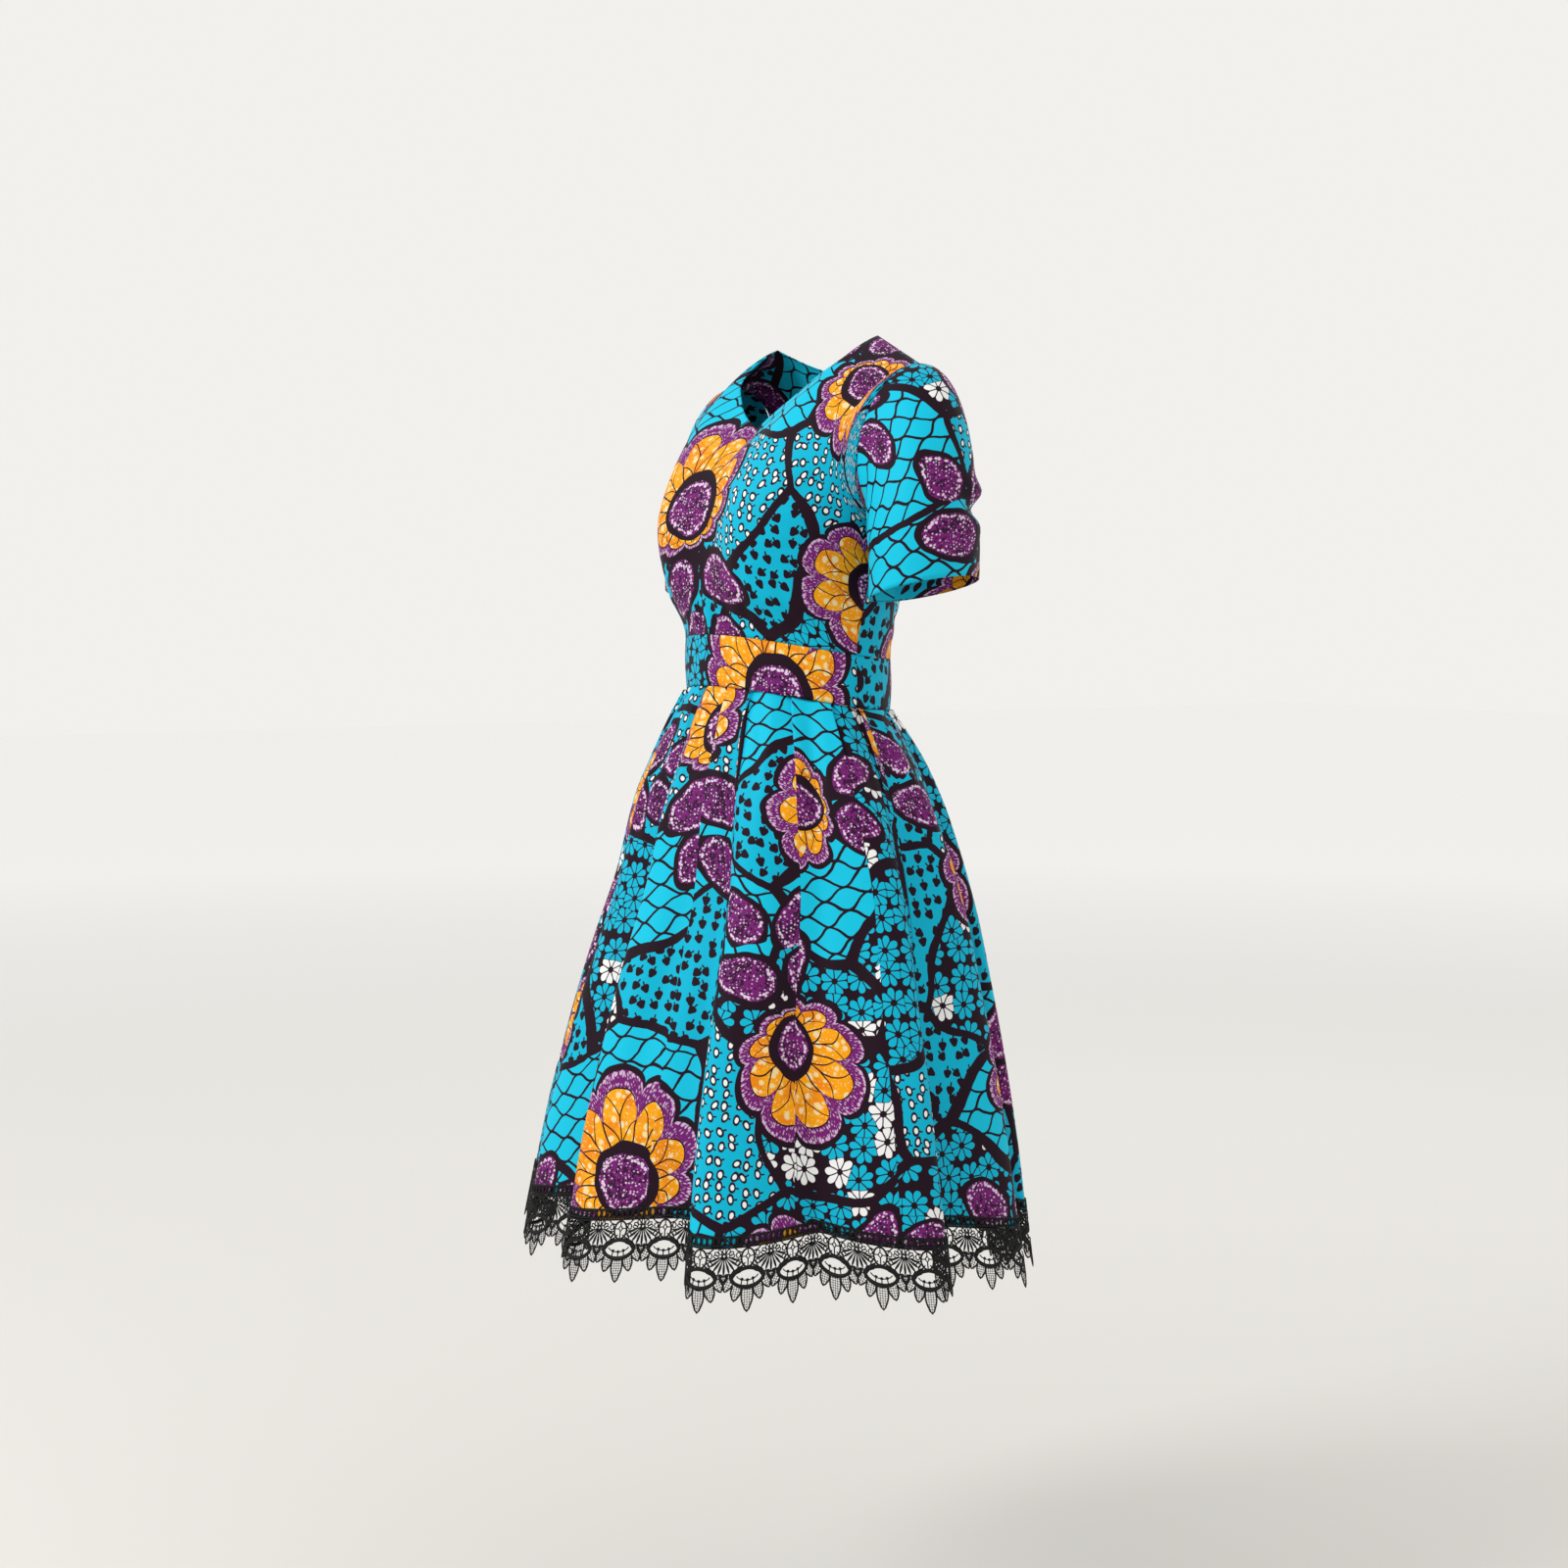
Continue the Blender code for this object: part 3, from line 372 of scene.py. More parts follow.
def torso_point(angle: float, height: float) -> Vector:
    """Return the point on the torso at this angle and height."""
    level = read_table(TORSO, height)
    turn = math.radians(angle)
    depth = level.front_depth if math.cos(turn) > 0 else level.back_depth
    x = level.half_width * math.sin(turn)
    y = level.centre_y - depth * math.cos(turn)
    above_seam = height - band_top_height(angle)
    if math.cos(turn) > 0:
        spread = BUST_SPREAD_UP if height > BUST_HEIGHT else BUST_SPREAD_DOWN
        sides = bell(x - BUST_X, BUST_SPREAD_X) + bell(x + BUST_X, BUST_SPREAD_X)
        push = BUST_PUSH * sides * bell(height - BUST_HEIGHT, spread) * smooth(above_seam / BUST_FADE)
        y -= push * smooth(BUST_TURN_RATE * math.cos(turn))
        tuck = math.cos(2 * math.pi * x / TUCK_SPACING) * smooth(1.0 - abs(x) / TUCK_REACH_X)
        rise = smooth(TUCK_RISE_RATE * above_seam / TUCK_HEIGHT)
        y -= TUCK_DEPTH * tuck * smooth(1.0 - above_seam / TUCK_HEIGHT) * rise
    return Vector((x, y, height))


def armhole_point(angle: float) -> Vector:
    """Return the left armhole point: angle 0 at the shoulder tip, 90 in front, 180 at the underarm."""
    turn = math.radians(angle)
    lift = 0.5 * (1.0 + math.cos(turn))
    x = ARMHOLE_X + ARMHOLE_TOP_REACH * lift ** 1.5
    y = UNDERARM_Y + (SHOULDER_TIP.y - UNDERARM_Y) * lift - ARMHOLE_HALF_DEPTH * math.sin(turn)
    z = UNDERARM_HEIGHT + (SHOULDER_TIP.z - UNDERARM_HEIGHT) * lift
    return Vector((x, y, z))


def top_edge(in_front: bool) -> list:
    """Return the columns of one half: chest angle, top point and the lead into it, from the centre."""
    forward = 1.0 if in_front else -1.0
    neck = NECK_FRONT if in_front else NECK_BACK
    tip_lead = SHOULDER_LEAD_FRONT if in_front else SHOULDER_LEAD_BACK
    side_lead = Vector((ARMHOLE_LEAD_SIDE.x, -forward * ARMHOLE_LEAD_SIDE.y, ARMHOLE_LEAD_SIDE.z))
    columns = []
    for index in range(NECK_COLUMNS + 1):
        share = index / NECK_COLUMNS
        row = along_points(neck, share)
        columns.append((NECK_CHEST_ANGLE * share, Vector(row[:3]), Vector(row[3:])))
    neck_point, neck_lead = columns[-1][1:]
    for index in range(1, SHOULDER_COLUMNS + 1):
        share = index / SHOULDER_COLUMNS
        angle = NECK_CHEST_ANGLE + (SHOULDER_CHEST_ANGLE - NECK_CHEST_ANGLE) * share
        columns.append((angle, neck_point.lerp(SHOULDER_TIP, share), neck_lead.lerp(tip_lead, share)))
    for index in range(1, ARMHOLE_COLUMNS + 1):
        share = index / ARMHOLE_COLUMNS
        angle = SHOULDER_CHEST_ANGLE + (90.0 - SHOULDER_CHEST_ANGLE) * share
        if share < 0.5:
            lead = tip_lead.lerp(side_lead, 2.0 * share)
        else:
            lead = side_lead.lerp(UNDERARM_LEAD, 2.0 * share - 1.0)
        columns.append((angle, armhole_point(forward * 180.0 * share), lead))
    if in_front:
        return columns
    return [(180.0 - angle, point, lead) for angle, point, lead in columns]


def bodice_column(angle: float, top: Vector, lead: Vector) -> list:
    """Return the points of one bodice column, from the waist seam up to the top edge."""
    side = math.sin(math.radians(angle)) ** 2
    chest_height = CHEST_FRONT_HEIGHT - CHEST_SIDE_DROP * side
    seam_height = band_top_height(angle)
    points = [torso_point(angle, seam_height + (chest_height - seam_height) * row / LOWER_ROWS)
              for row in range(LOWER_ROWS)]
    chest = torso_point(angle, chest_height)
    rise = (chest - torso_point(angle, chest_height - CHEST_SLOPE_STEP)).normalized()
    reach = YOKE_CURVE * (top - chest).length
    points += [bezier(chest, chest + rise * reach, top + lead, top, row / YOKE_ROWS)
               for row in range(YOKE_ROWS + 1)]
    return points


def sleeve_column(angle: float) -> list:
    """Return the points of one left sleeve column, from the hem up to the armhole."""
    turn = math.radians(angle)
    outward = 0.5 * (1.0 + math.cos(turn))
    start = armhole_point(angle)
    start = start + Vector((SLEEVE_SEAM_CLEARANCE, 0.0, -SLEEVE_UNDERARM_DROP * (1.0 - outward)))
    end = SLEEVE_CENTRE + Vector((SLEEVE_RADIUS_X * math.cos(turn), -SLEEVE_RADIUS_Y * math.sin(turn),
                                  SLEEVE_TILT_SIDE * math.cos(turn) + SLEEVE_TILT_FRONT * math.sin(turn)))
    leave, arrive = (Vector((lead.under_x + lead.over_x * outward, 0.0,
                             lead.under_z + lead.over_z * outward))
                     for lead in (SLEEVE_LEAVE, SLEEVE_ARRIVE))
    return [bezier(end, end + arrive, start + leave, start, row / SLEEVE_ROWS)
            for row in range(SLEEVE_ROWS + 1)]


def band_column(angle: float) -> list:
    """Return the points of one waistband column, from its lower to its upper seam."""
    top = band_top_height(angle)
    out = Vector((math.sin(math.radians(angle)), -math.cos(math.radians(angle)), 0.0))
    points = []
    for row in range(BAND_ROWS + 1):
        share = 1.0 - row / BAND_ROWS
        point = torso_point(angle, top - BAND_WIDTH * share)
        points.append(point + out * BAND_BULGE * math.sin(math.pi * share))
    return points


def fold_state(position: float) -> tuple:
    """Return crest angles, depths, lean and phase at a position counted in folds round the skirt."""
    index = math.floor(position)
    share = position - index
    here = FOLDS[index % len(FOLDS)]
    beyond = FOLDS[(index + 1) % len(FOLDS)]
    turns = 360.0 * (index // len(FOLDS)), 360.0 * ((index + 1) // len(FOLDS))
    here = here._replace(waist_angle=here.waist_angle + turns[0], hem_angle=here.hem_angle + turns[0])
    beyond = beyond._replace(waist_angle=beyond.waist_angle + turns[1], hem_angle=beyond.hem_angle + turns[1])
    mixed = Fold(*(a + (b - a) * share for a, b in zip(here, beyond)))
    return mixed._replace(lean=here.lean + (beyond.lean - here.lean) * smooth(share)), math.tau * share


def pleat_sink(position: float, share: float, half_width: float) -> float:
    """Return how far the knife pleats press the cloth in at a place on the skirt."""
    sink = 0.0
    half_round = 0.5 * len(FOLDS)
    for pleat in PLEATS:
        if share >= pleat.fade_share:
            continue
        away = (position - pleat.place + half_round) % len(FOLDS) - half_round
        if abs(away) > PLEAT_REACH:
            continue
        across = away * pleat.under * math.radians(FOLD_ANGLE) * half_width
        step = smooth(across / PLEAT_STEP + 0.5)
        shape = step * math.exp(-max(across, 0.0) / PLEAT_RECOVER)
        shape -= PLEAT_LIFT * (1.0 - step) * math.exp(min(across, 0.0) / PLEAT_RECOVER)
        sink += PLEAT_GAIN * pleat.depth * smooth(1.0 - share / pleat.fade_share) * shape
    return sink


def skirt_point(position: float, share: float) -> Vector:
    """Return the skirt point at a position in folds and a share of the drop from band to hem."""
    fold, phase = fold_state(position)
    level = read_table(SKIRT, share)
    angle = fold.waist_angle + (fold.hem_angle - fold.waist_angle) * share
    depth = fold.waist_depth + (fold.hem_depth - fold.waist_depth) * level.fold_share
    turn = math.radians(angle)
    outward = Vector((math.sin(turn), -math.cos(turn), 0.0))
    sideways = Vector((math.cos(turn), math.sin(turn), 0.0))
    point = Vector((level.half_width * math.sin(turn),
                    level.centre_y - level.half_depth * math.cos(turn), 0.0))
    point -= outward * depth * (1.0 - math.cos(phase))
    point += sideways * fold.lean * level.fold_share * math.cos(phase)
    point -= outward * pleat_sink(position, share, level.half_width)
    seam_height = band_top_height(angle) - BAND_WIDTH - SEAM_GAP
    hem_height = HEM_HEIGHT + HEM_TILT * math.cos(math.radians(angle - HEM_TILT_ANGLE))
    hem_height -= HEM_CREST_DROP * math.cos(phase)
    point.z = seam_height + (hem_height - seam_height) * share
    return point


def hem_positions() -> list:
    """Return positions in folds that part the hem into facets of equal length, from the right side seam."""
    fine = [RIGHT_SEAM + len(FOLDS) * step / FOLD_PROFILE_STEPS for step in range(FOLD_PROFILE_STEPS + 1)]
    edge = np.array([skirt_point(position, 1.0)[:] for position in fine])
    lengths = np.concatenate([[0.0], np.cumsum(np.linalg.norm(np.diff(edge, axis=0), axis=1))])
    targets = lengths[-1] * np.arange(HEM_FACETS + 1) / HEM_FACETS
    return np.interp(targets, lengths, fine).tolist()


def unit(vectors: np.ndarray) -> np.ndarray:
    """Return the vectors at length one."""
    return vectors / np.maximum(np.linalg.norm(vectors, axis=-1, keepdims=True), TINY)


def arc_lengths(points: np.ndarray, axis: int) -> np.ndarray:
    """Return the length along a grid of points in one direction, from its first line."""
    steps = np.linalg.norm(np.diff(points, axis=axis), axis=2)
    start = np.zeros_like(np.take(steps, [0], axis=axis))
    return np.concatenate([start, np.cumsum(steps, axis=axis)], axis=axis)


def link(obj):
    """Add an object to the scene and return it."""
    bpy.context.scene.collection.objects.link(obj)
    return obj


def aim(obj, place: Vector, direction: Vector) -> None:
    """Set an object at a place, looking in a direction."""
    obj.location = place
    obj.rotation_mode = "QUATERNION"
    obj.rotation_quaternion = direction.to_track_quat("-Z", "Y")


class Held(Enum):
    """How a sheet is held in its worn form."""

    HUNG = "hung"
    GATHERED = "gathered"
    STRETCHED = "stretched"


class ClothGrid:
    """A sheet of cloth as a grid of points: columns that run from bottom to top."""

    def __init__(self, columns: list, closed: bool = False) -> None:
        self.points = np.array([[tuple(point) for point in column] for column in columns])
        self.closed = closed
        self.print_u: np.ndarray
        self.print_v: np.ndarray
        self.breaks: list = []

    def normals(self) -> np.ndarray:
        """Return the outward direction at each point."""
        if self.closed:
            ring = np.concatenate([self.points[-1:], self.points, self.points[:1]])
            along = ring[2:] - ring[:-2]
        else:
            along = np.gradient(self.points, axis=0)
        up = np.gradient(self.points, axis=1)
        return unit(np.cross(along, up))

    def press(self, creases: tuple, key_a: np.ndarray, key_b: np.ndarray, ratio: float) -> None:
        """Press creases into the cloth.

        Args:
            creases: the creases, each a line of places with a width and a depth.
            key_a: the first coordinate of each grid point, in which the places are given.
            key_b: the second coordinate of each grid point.
            ratio: how much one unit of the first coordinate counts against the second.
        """
        outward = self.normals()
        sink = np.zeros(self.points.shape[:2])
        flat = self.points.reshape(-1, 3)
        for crease in creases:
            line = []
            for a, b in crease.places:
                away = ((key_a - a) * ratio) ** 2 + (key_b - b) ** 2
                line.append(flat[int(away.argmin())])
            line = smooth_line(np.array(line), CREASE_STEPS)
            near = np.full(len(flat), np.inf)
            place = np.zeros(len(flat))
            for index in range(len(line) - 1):
                start, run = line[index], line[index + 1] - line[index]
                part = np.clip(((flat - start) @ run) / max(run @ run, TINY), 0.0, 1.0)
                distance = np.linalg.norm(flat - start - part[:, None] * run, axis=1)
                closer = distance < near
                near[closer] = distance[closer]
                place[closer] = (index + part[closer]) / (len(line) - 1)
            taper = np.sin(np.pi * (CREASE_END + (1.0 - 2.0 * CREASE_END) * place)) ** CREASE_TAPER
            near = near / crease.width
            shape = np.exp(-0.5 * near ** 2) - CREASE_RIM * np.exp(-0.5 * (near - CREASE_RIM_REACH) ** 2)
            sink += (crease.depth * taper * shape).reshape(sink.shape)
        self.points -= outward * sink[..., None]

    def lay_print(self, origin: tuple, centre: int) -> None:
        """Give each point its place in the print, in metres, measured over the cloth.

        Args:
            origin: the place in the print of the centre column's bottom point.
            centre: the column whose threads run straight up.
        """
        across = arc_lengths(self.points, 0)
        height = arc_lengths(self.points, 1)
        self.print_u = origin[0] + across - across[centre]
        self.print_v = origin[1] + height - height[:, [0]]

    def pull(self, bottom: float = 0.0, top: float = 0.0, start: float = 0.0, end: float = 0.0) -> None:
        """Draw the outer edges in by these distances."""
        grid = self.points
        grid[:, 0] += unit(grid[:, 1] - grid[:, 0]) * bottom
        grid[:, -1] += unit(grid[:, -2] - grid[:, -1]) * top
        if not self.closed:
            grid[0] += unit(grid[1] - grid[0]) * start
            grid[-1] += unit(grid[-2] - grid[-1]) * end

    def cut(self, rows: int = 0) -> tuple:
        """Return the width and height of the flat piece of cloth, and its area.

        Args:
            rows: how many rows from the bottom count for the width, or 0 for all of them.
        """
        points = self.points
        if self.closed:
            points = np.concatenate([points, points[:1]])
        width = float(arc_lengths(points, 0)[-1][:rows or None].max())
        height = float(arc_lengths(points, 1)[:, -1].max())
        one = np.cross(points[1:, :-1] - points[:-1, :-1], points[:-1, 1:] - points[:-1, :-1])
        two = np.cross(points[1:, :-1] - points[1:, 1:], points[:-1, 1:] - points[1:, 1:])
        area = 0.5 * float(np.linalg.norm(one, axis=2).sum() + np.linalg.norm(two, axis=2).sum())
        return (round(width, 3), round(height, 3)), round(area, 4)

    def turn_in(self, bottom: float = 0.0, top: float = 0.0, start: float = 0.0, end: float = 0.0) -> None:
        """Turn the edges to the inside, as at a seam or a finished edge, by these distances."""
        for depth, row, at in ((bottom, 0, 0), (top, -1, 1)):
            if depth:
                inner = self.points[:, [row]] - self.normals()[:, [row]] * depth
                self._grow(inner, 1, at, row)
        if self.closed:
            return
        for depth, row, at in ((start, 0, 0), (end, -1, 1)):
            if depth:
                inner = self.points[[row]] - self.normals()[[row]] * depth
                self._grow(inner, 0, at, row)

    def _grow(self, inner: np.ndarray, axis: int, after: int, row: int) -> None:
        """Add one line of points before or after the others, with its place in the print."""
        def join(old, new):
            return np.concatenate([old, new] if after else [new, old], axis=axis)

        self.points = join(self.points, inner)
        self.print_u = join(self.print_u, np.take(self.print_u, [row], axis=axis))
        self.print_v = join(self.print_v, np.take(self.print_v, [row], axis=axis))
        if axis == 0 and not after:
            self.breaks = [(column + 1, left, right) for column, left, right in self.breaks]
        if axis == 1:
            ends = (slice(None), slice(-1, None)) if after else (slice(0, 1), slice(None))
            self.breaks = [(column, *(np.concatenate([side[part] for part in ends]) for side in sides))
                           for column, *sides in self.breaks]

    def build(self, name: str, material):
        """Return the sheet as an object with a thin wall and its print coordinates."""
        columns, rows = self.points.shape[:2]
        spans = columns if self.closed else columns - 1
        first = np.repeat(np.arange(spans), rows - 1)
        row = np.tile(np.arange(rows - 1), spans)
        second = (first + 1) % columns
        faces = np.stack([first * rows + row, second * rows + row,
                          second * rows + row + 1, first * rows + row + 1], axis=1)
        mesh = bpy.data.meshes.new(name)
        mesh.from_pydata(self.points.reshape(-1, 3).tolist(), [], faces.tolist())
        layer = mesh.uv_layers.new(name="print_place")
        u_left, u_right = self._edges_u(spans)
        v = self.print_v
        places = np.array([(u_left[first, row], v[first, row]), (u_right[first, row], v[second, row]),
                           (u_right[first, row + 1], v[second, row + 1]),
                           (u_left[first, row + 1], v[first, row + 1])])
        layer.data.foreach_set("uv", places.transpose(2, 0, 1).reshape(-1).astype(np.float32))
        sheet = link(bpy.data.objects.new(name, mesh))
        mesh.materials.append(material)
        wall = sheet.modifiers.new("wall", "SOLIDIFY")
        wall.thickness = CLOTH_THICKNESS
        wall.offset = -1.0
        wall.use_even_offset = False
        mesh.shade_smooth()
        return sheet

    def _edges_u(self, spans: int) -> tuple:
        """Return the print's u at the two sides of each span, with its jumps at the breaks."""
        left = self.print_u[:spans].copy()
        right = np.roll(self.print_u, -1, axis=0)[:spans].copy()
        for column, before, after in self.breaks:
            right[column - 1] = before
            left[column] = after
        if self.closed:
            last = arc_lengths(np.concatenate([self.points[-1:], self.points[:1]]), 0)[1]
            right[-1] = self.print_u[-1] + last
        return left, right


def smooth_line(points: np.ndarray, steps: int) -> np.ndarray:
    """Return a finer line that runs smoothly through the points."""
    shares = np.linspace(0.0, 1.0, steps * (len(points) - 1) + 1)
    rows = [tuple(point) for point in points]
    return np.array([along_points(rows, share) for share in shares])


def mirrored(columns: list) -> list:
    """Return columns of the other side of the body, still running the same way round."""
    return [[Vector((-point.x, point.y, point.z)) for point in column] for column in reversed(columns)]


@dataclass(frozen=True)
class Palette:
    """Linear colours of the print."""

    cyan: tuple = (0.000, 0.415, 0.605, 1.0)
    light_cyan: tuple = (0.003, 0.485, 0.680, 1.0)
    dark: tuple = (0.0115, 0.0018, 0.0085, 1.0)
    white: tuple = (0.800, 0.800, 0.800, 1.0)
    purple: tuple = (0.155, 0.010, 0.140, 1.0)
    deep_purple: tuple = (0.034, 0.003, 0.032, 1.0)
    pale: tuple = (0.694, 0.534, 0.694, 1.0)
    amber: tuple = (0.850, 0.330, 0.000, 1.0)
    orange: tuple = (0.748, 0.223, 0.000, 1.0)
    cream: tuple = (0.801, 0.623, 0.311, 1.0)


@dataclass(frozen=True)
class ClothFinish:
    """How the printed cotton takes light."""

    roughness: float = 0.60
    specular: float = 0.12
    sheen: float = 0.02
    sheen_roughness: float = 0.45
    weave_pitch: float = 0.0009
    weave_strength: float = 0.12
    weave_distance: float = 0.0004


@dataclass(frozen=True)
class ThreadFinish:
    """The lace thread."""

    colour: tuple = (0.0045, 0.0045, 0.0050, 1.0)
    roughness: float = 0.60
    specular: float = 0.22
    grain_pitch: float = 1.0 / 900.0


Motif = namedtuple("Motif", "u v turn size")
TILE = (0.500, 0.460)
FLOWERS = (
    Motif(0.120, 0.160, 16.0, 0.90),
    Motif(0.345, 0.318, 205.0, 0.82),
    Motif(0.372, 0.092, 98.0, 0.70),
)

# Leaves that hang in a spray below each flower, in its own directions
Leaf = namedtuple("Leaf", "aside down turn size")
SPRAY = (
    Leaf(-0.043, 0.084, 122.0, 1.04),
    Leaf(0.046, 0.098, 234.0, 1.08),
    Leaf(-0.040, 0.142, 140.0, 0.98),
    Leaf(0.029, 0.168, 200.0, 0.94),
)


def spray_leaves() -> tuple:
    """Return the place, turn and size of every leaf in the print's tile."""
    leaves = []
    for flower in FLOWERS:
        turn = math.radians(flower.turn)
        for leaf in SPRAY:
            aside, down = leaf.aside * flower.size, leaf.down * flower.size
            leaves.append(Motif(flower.u + aside * math.cos(turn) + down * math.sin(turn),
                                flower.v + aside * math.sin(turn) - down * math.cos(turn),
                                flower.turn + leaf.turn, leaf.size * flower.size ** 0.5))
    return tuple(leaves)


LEAVES = spray_leaves()


def sign(operation: str, swapped: bool = False):
    """Return a method that adds the maths node of an arithmetic sign."""
    def method(self, other):
        values = (other, self) if swapped else (self, other)
        return self.graph.math(operation, *values)

    return method


@dataclass(frozen=True, eq=False)
class Value:
    """A socket of a shader tree with the graph that it belongs to."""

    graph: "Graph"
    socket: object


class Number(Value):
    """A number in a shader tree: arithmetic signs on it add maths nodes."""

    __add__ = __radd__ = sign("ADD")
    __sub__ = sign("SUBTRACT")
    __rsub__ = sign("SUBTRACT", swapped=True)
    __mul__ = __rmul__ = sign("MULTIPLY")
    __truediv__ = sign("DIVIDE")
    __mod__ = sign("MODULO")
    __pow__ = sign("POWER")
    __gt__ = sign("GREATER_THAN")
    __lt__ = sign("LESS_THAN")
    either = sign("MAXIMUM")

    def __abs__(self) -> "Number":
        return self.run("ABSOLUTE")

    def run(self, operation: str, *others) -> "Number":
        """Return the result of a maths node on this number and the others."""
        return self.graph.math(operation, self, *others)

    def join(self, other: "Number") -> "Place":
        """Return the place with this number as its x and the other as its y."""
        return Place(self.graph, self.graph.node("ShaderNodeCombineXYZ", (self, other)).outputs[0])

    def above(self, limit, soft: float = PRINT_EDGE) -> "Number":
        """Return 1 where the number is above the limit and 0 below it, with a soft edge."""
        return self.graph.math("MULTIPLY_ADD", self - limit, 0.5 / soft, 0.5, clamp=True)

    def below(self, limit, soft: float = PRINT_EDGE) -> "Number":
        """Return 1 where the number is below the limit and 0 above it, with a soft edge."""
        return self.graph.math("MULTIPLY_ADD", limit - self, 0.5 / soft, 0.5, clamp=True)

    def within(self, low: float, high: float, soft: float = PRINT_EDGE) -> "Number":
        """Return 1 where the number lies between two limits."""
        return abs(self - 0.5 * (low + high)).below(0.5 * (high - low), soft)

    def sector(self, count: float) -> "Number":
        """Return how far this angle lies from the middle of its sector, from 0 to 1 at the edges."""
        return abs((self * (count / math.tau) + 0.5).run("FRACT") - 0.5) * 2.0

    def dome(self, low: float, bend: float = 1.0) -> "Number":
        """Return a round arch over a sector: 1 in its middle and low at its edges."""
        root = (self * self * -bend + 1.0).either(0.0).run("SQRT")
        return root * (1.0 - low) + low


Cells = namedtuple("Cells", "distance colour centre")


class Place(Value):
    """A place in the print, or a step in it."""

    def run(self, operation: str, *others) -> "Place":
        """Return the result of a vector maths node on this place and the others."""
        node = self.graph.node("ShaderNodeVectorMath", (self, *others), operation=operation)
        return Place(self.graph, node.outputs["Vector"])

    def scaled(self, factor: float) -> "Place":
        """Return the place times a factor."""
        node = self.graph.node("ShaderNodeVectorMath", {0: self, "Scale": factor}, operation="SCALE")
        return Place(self.graph, node.outputs["Vector"])

    def turned(self, angle) -> "Place":
        """Return the place turned about the origin."""
        node = self.graph.node("ShaderNodeVectorRotate", {"Vector": self, "Angle": angle},
                               rotation_type="Z_AXIS")
        return Place(self.graph, node.outputs[0])

    def length(self) -> Number:
        """Return the distance from the origin."""
        node = self.graph.node("ShaderNodeVectorMath", (self,), operation="LENGTH")
        return Number(self.graph, node.outputs["Value"])

    def parts(self) -> tuple:
        """Return the x and y of the place."""
        node = self.graph.node("ShaderNodeSeparateXYZ", (self,))
        return Number(self.graph, node.outputs[0]), Number(self.graph, node.outputs[1])

    def voronoi(self, pitch: float, scatter: float, feature: str):
        """Return a flat Voronoi node whose cells have this pitch in metres."""
        inputs = {"Vector": self, "Scale": 1.0 / pitch, "Randomness": scatter}
        return self.graph.node("ShaderNodeTexVoronoi", inputs, voronoi_dimensions="2D", feature=feature)

    def cells(self, pitch: float, scatter: float) -> Cells:
        """Return the distance to the cell's centre, the cell's random colour and its centre."""
        outputs = self.voronoi(pitch, scatter, "F1").outputs
        return Cells(Number(self.graph, outputs["Distance"]), Place(self.graph, outputs["Color"]),
                     Place(self.graph, outputs["Position"]))

    def edge(self, pitch: float, scatter: float) -> Number:
        """Return the distance to the edge of the cell."""
        return Number(self.graph, self.voronoi(pitch, scatter, "DISTANCE_TO_EDGE").outputs["Distance"])

    def noise(self, pitch: float, detail: float, dimensions: str):
        """Return a noise node whose features have this size in metres."""
        inputs = {"Vector": self, "Scale": 1.0 / pitch, "Detail": detail}
        return self.graph.node("ShaderNodeTexNoise", inputs, noise_dimensions=dimensions)

    def grain(self, pitch: float, detail: float = 2.0, dimensions: str = "2D") -> Number:
        """Return the height of a noise."""
        return Number(self.graph, self.noise(pitch, detail, dimensions).outputs[0])

    def wobble(self, pitch: float, reach: float) -> "Place":
        """Return the place moved about by a soft noise."""
        shift = Place(self.graph, self.noise(pitch, 1.0, "2D").outputs["Color"])
        return self.run("ADD", shift.run("SUBTRACT", (0.5, 0.5, 0.5)).scaled(2.0 * reach))

    def local(self, pitch: float, scatter: float, spin: float) -> tuple:
        """Return the place within its cell, turned at random, and a random number of the cell."""
        cells = self.cells(pitch, scatter)
        inside = self.run("SUBTRACT", cells.centre)
        chance, other = cells.colour.parts()
        return inside.turned(chance * spin - 0.5 * spin), other

    def nearest(self, motifs: tuple) -> "Place":
        """Return the place relative to the nearest motif, turned and scaled with it."""
        best, best_far = None, None
        half = (0.5 * TILE[0], 0.5 * TILE[1], 0.0)
        for motif in motifs:
            away = self.run("SUBTRACT", (motif.u, motif.v, 0.0)).run("WRAP", half, (-half[0], -half[1], 0.0))
            away = away.turned(-math.radians(motif.turn)).scaled(1.0 / motif.size)
            far = away.length()
            if best is None:
                best, best_far = away, far
                continue
            best = self.graph.pick(far < best_far, best, away)
            best_far = far.run("MINIMUM", best_far)
        return best


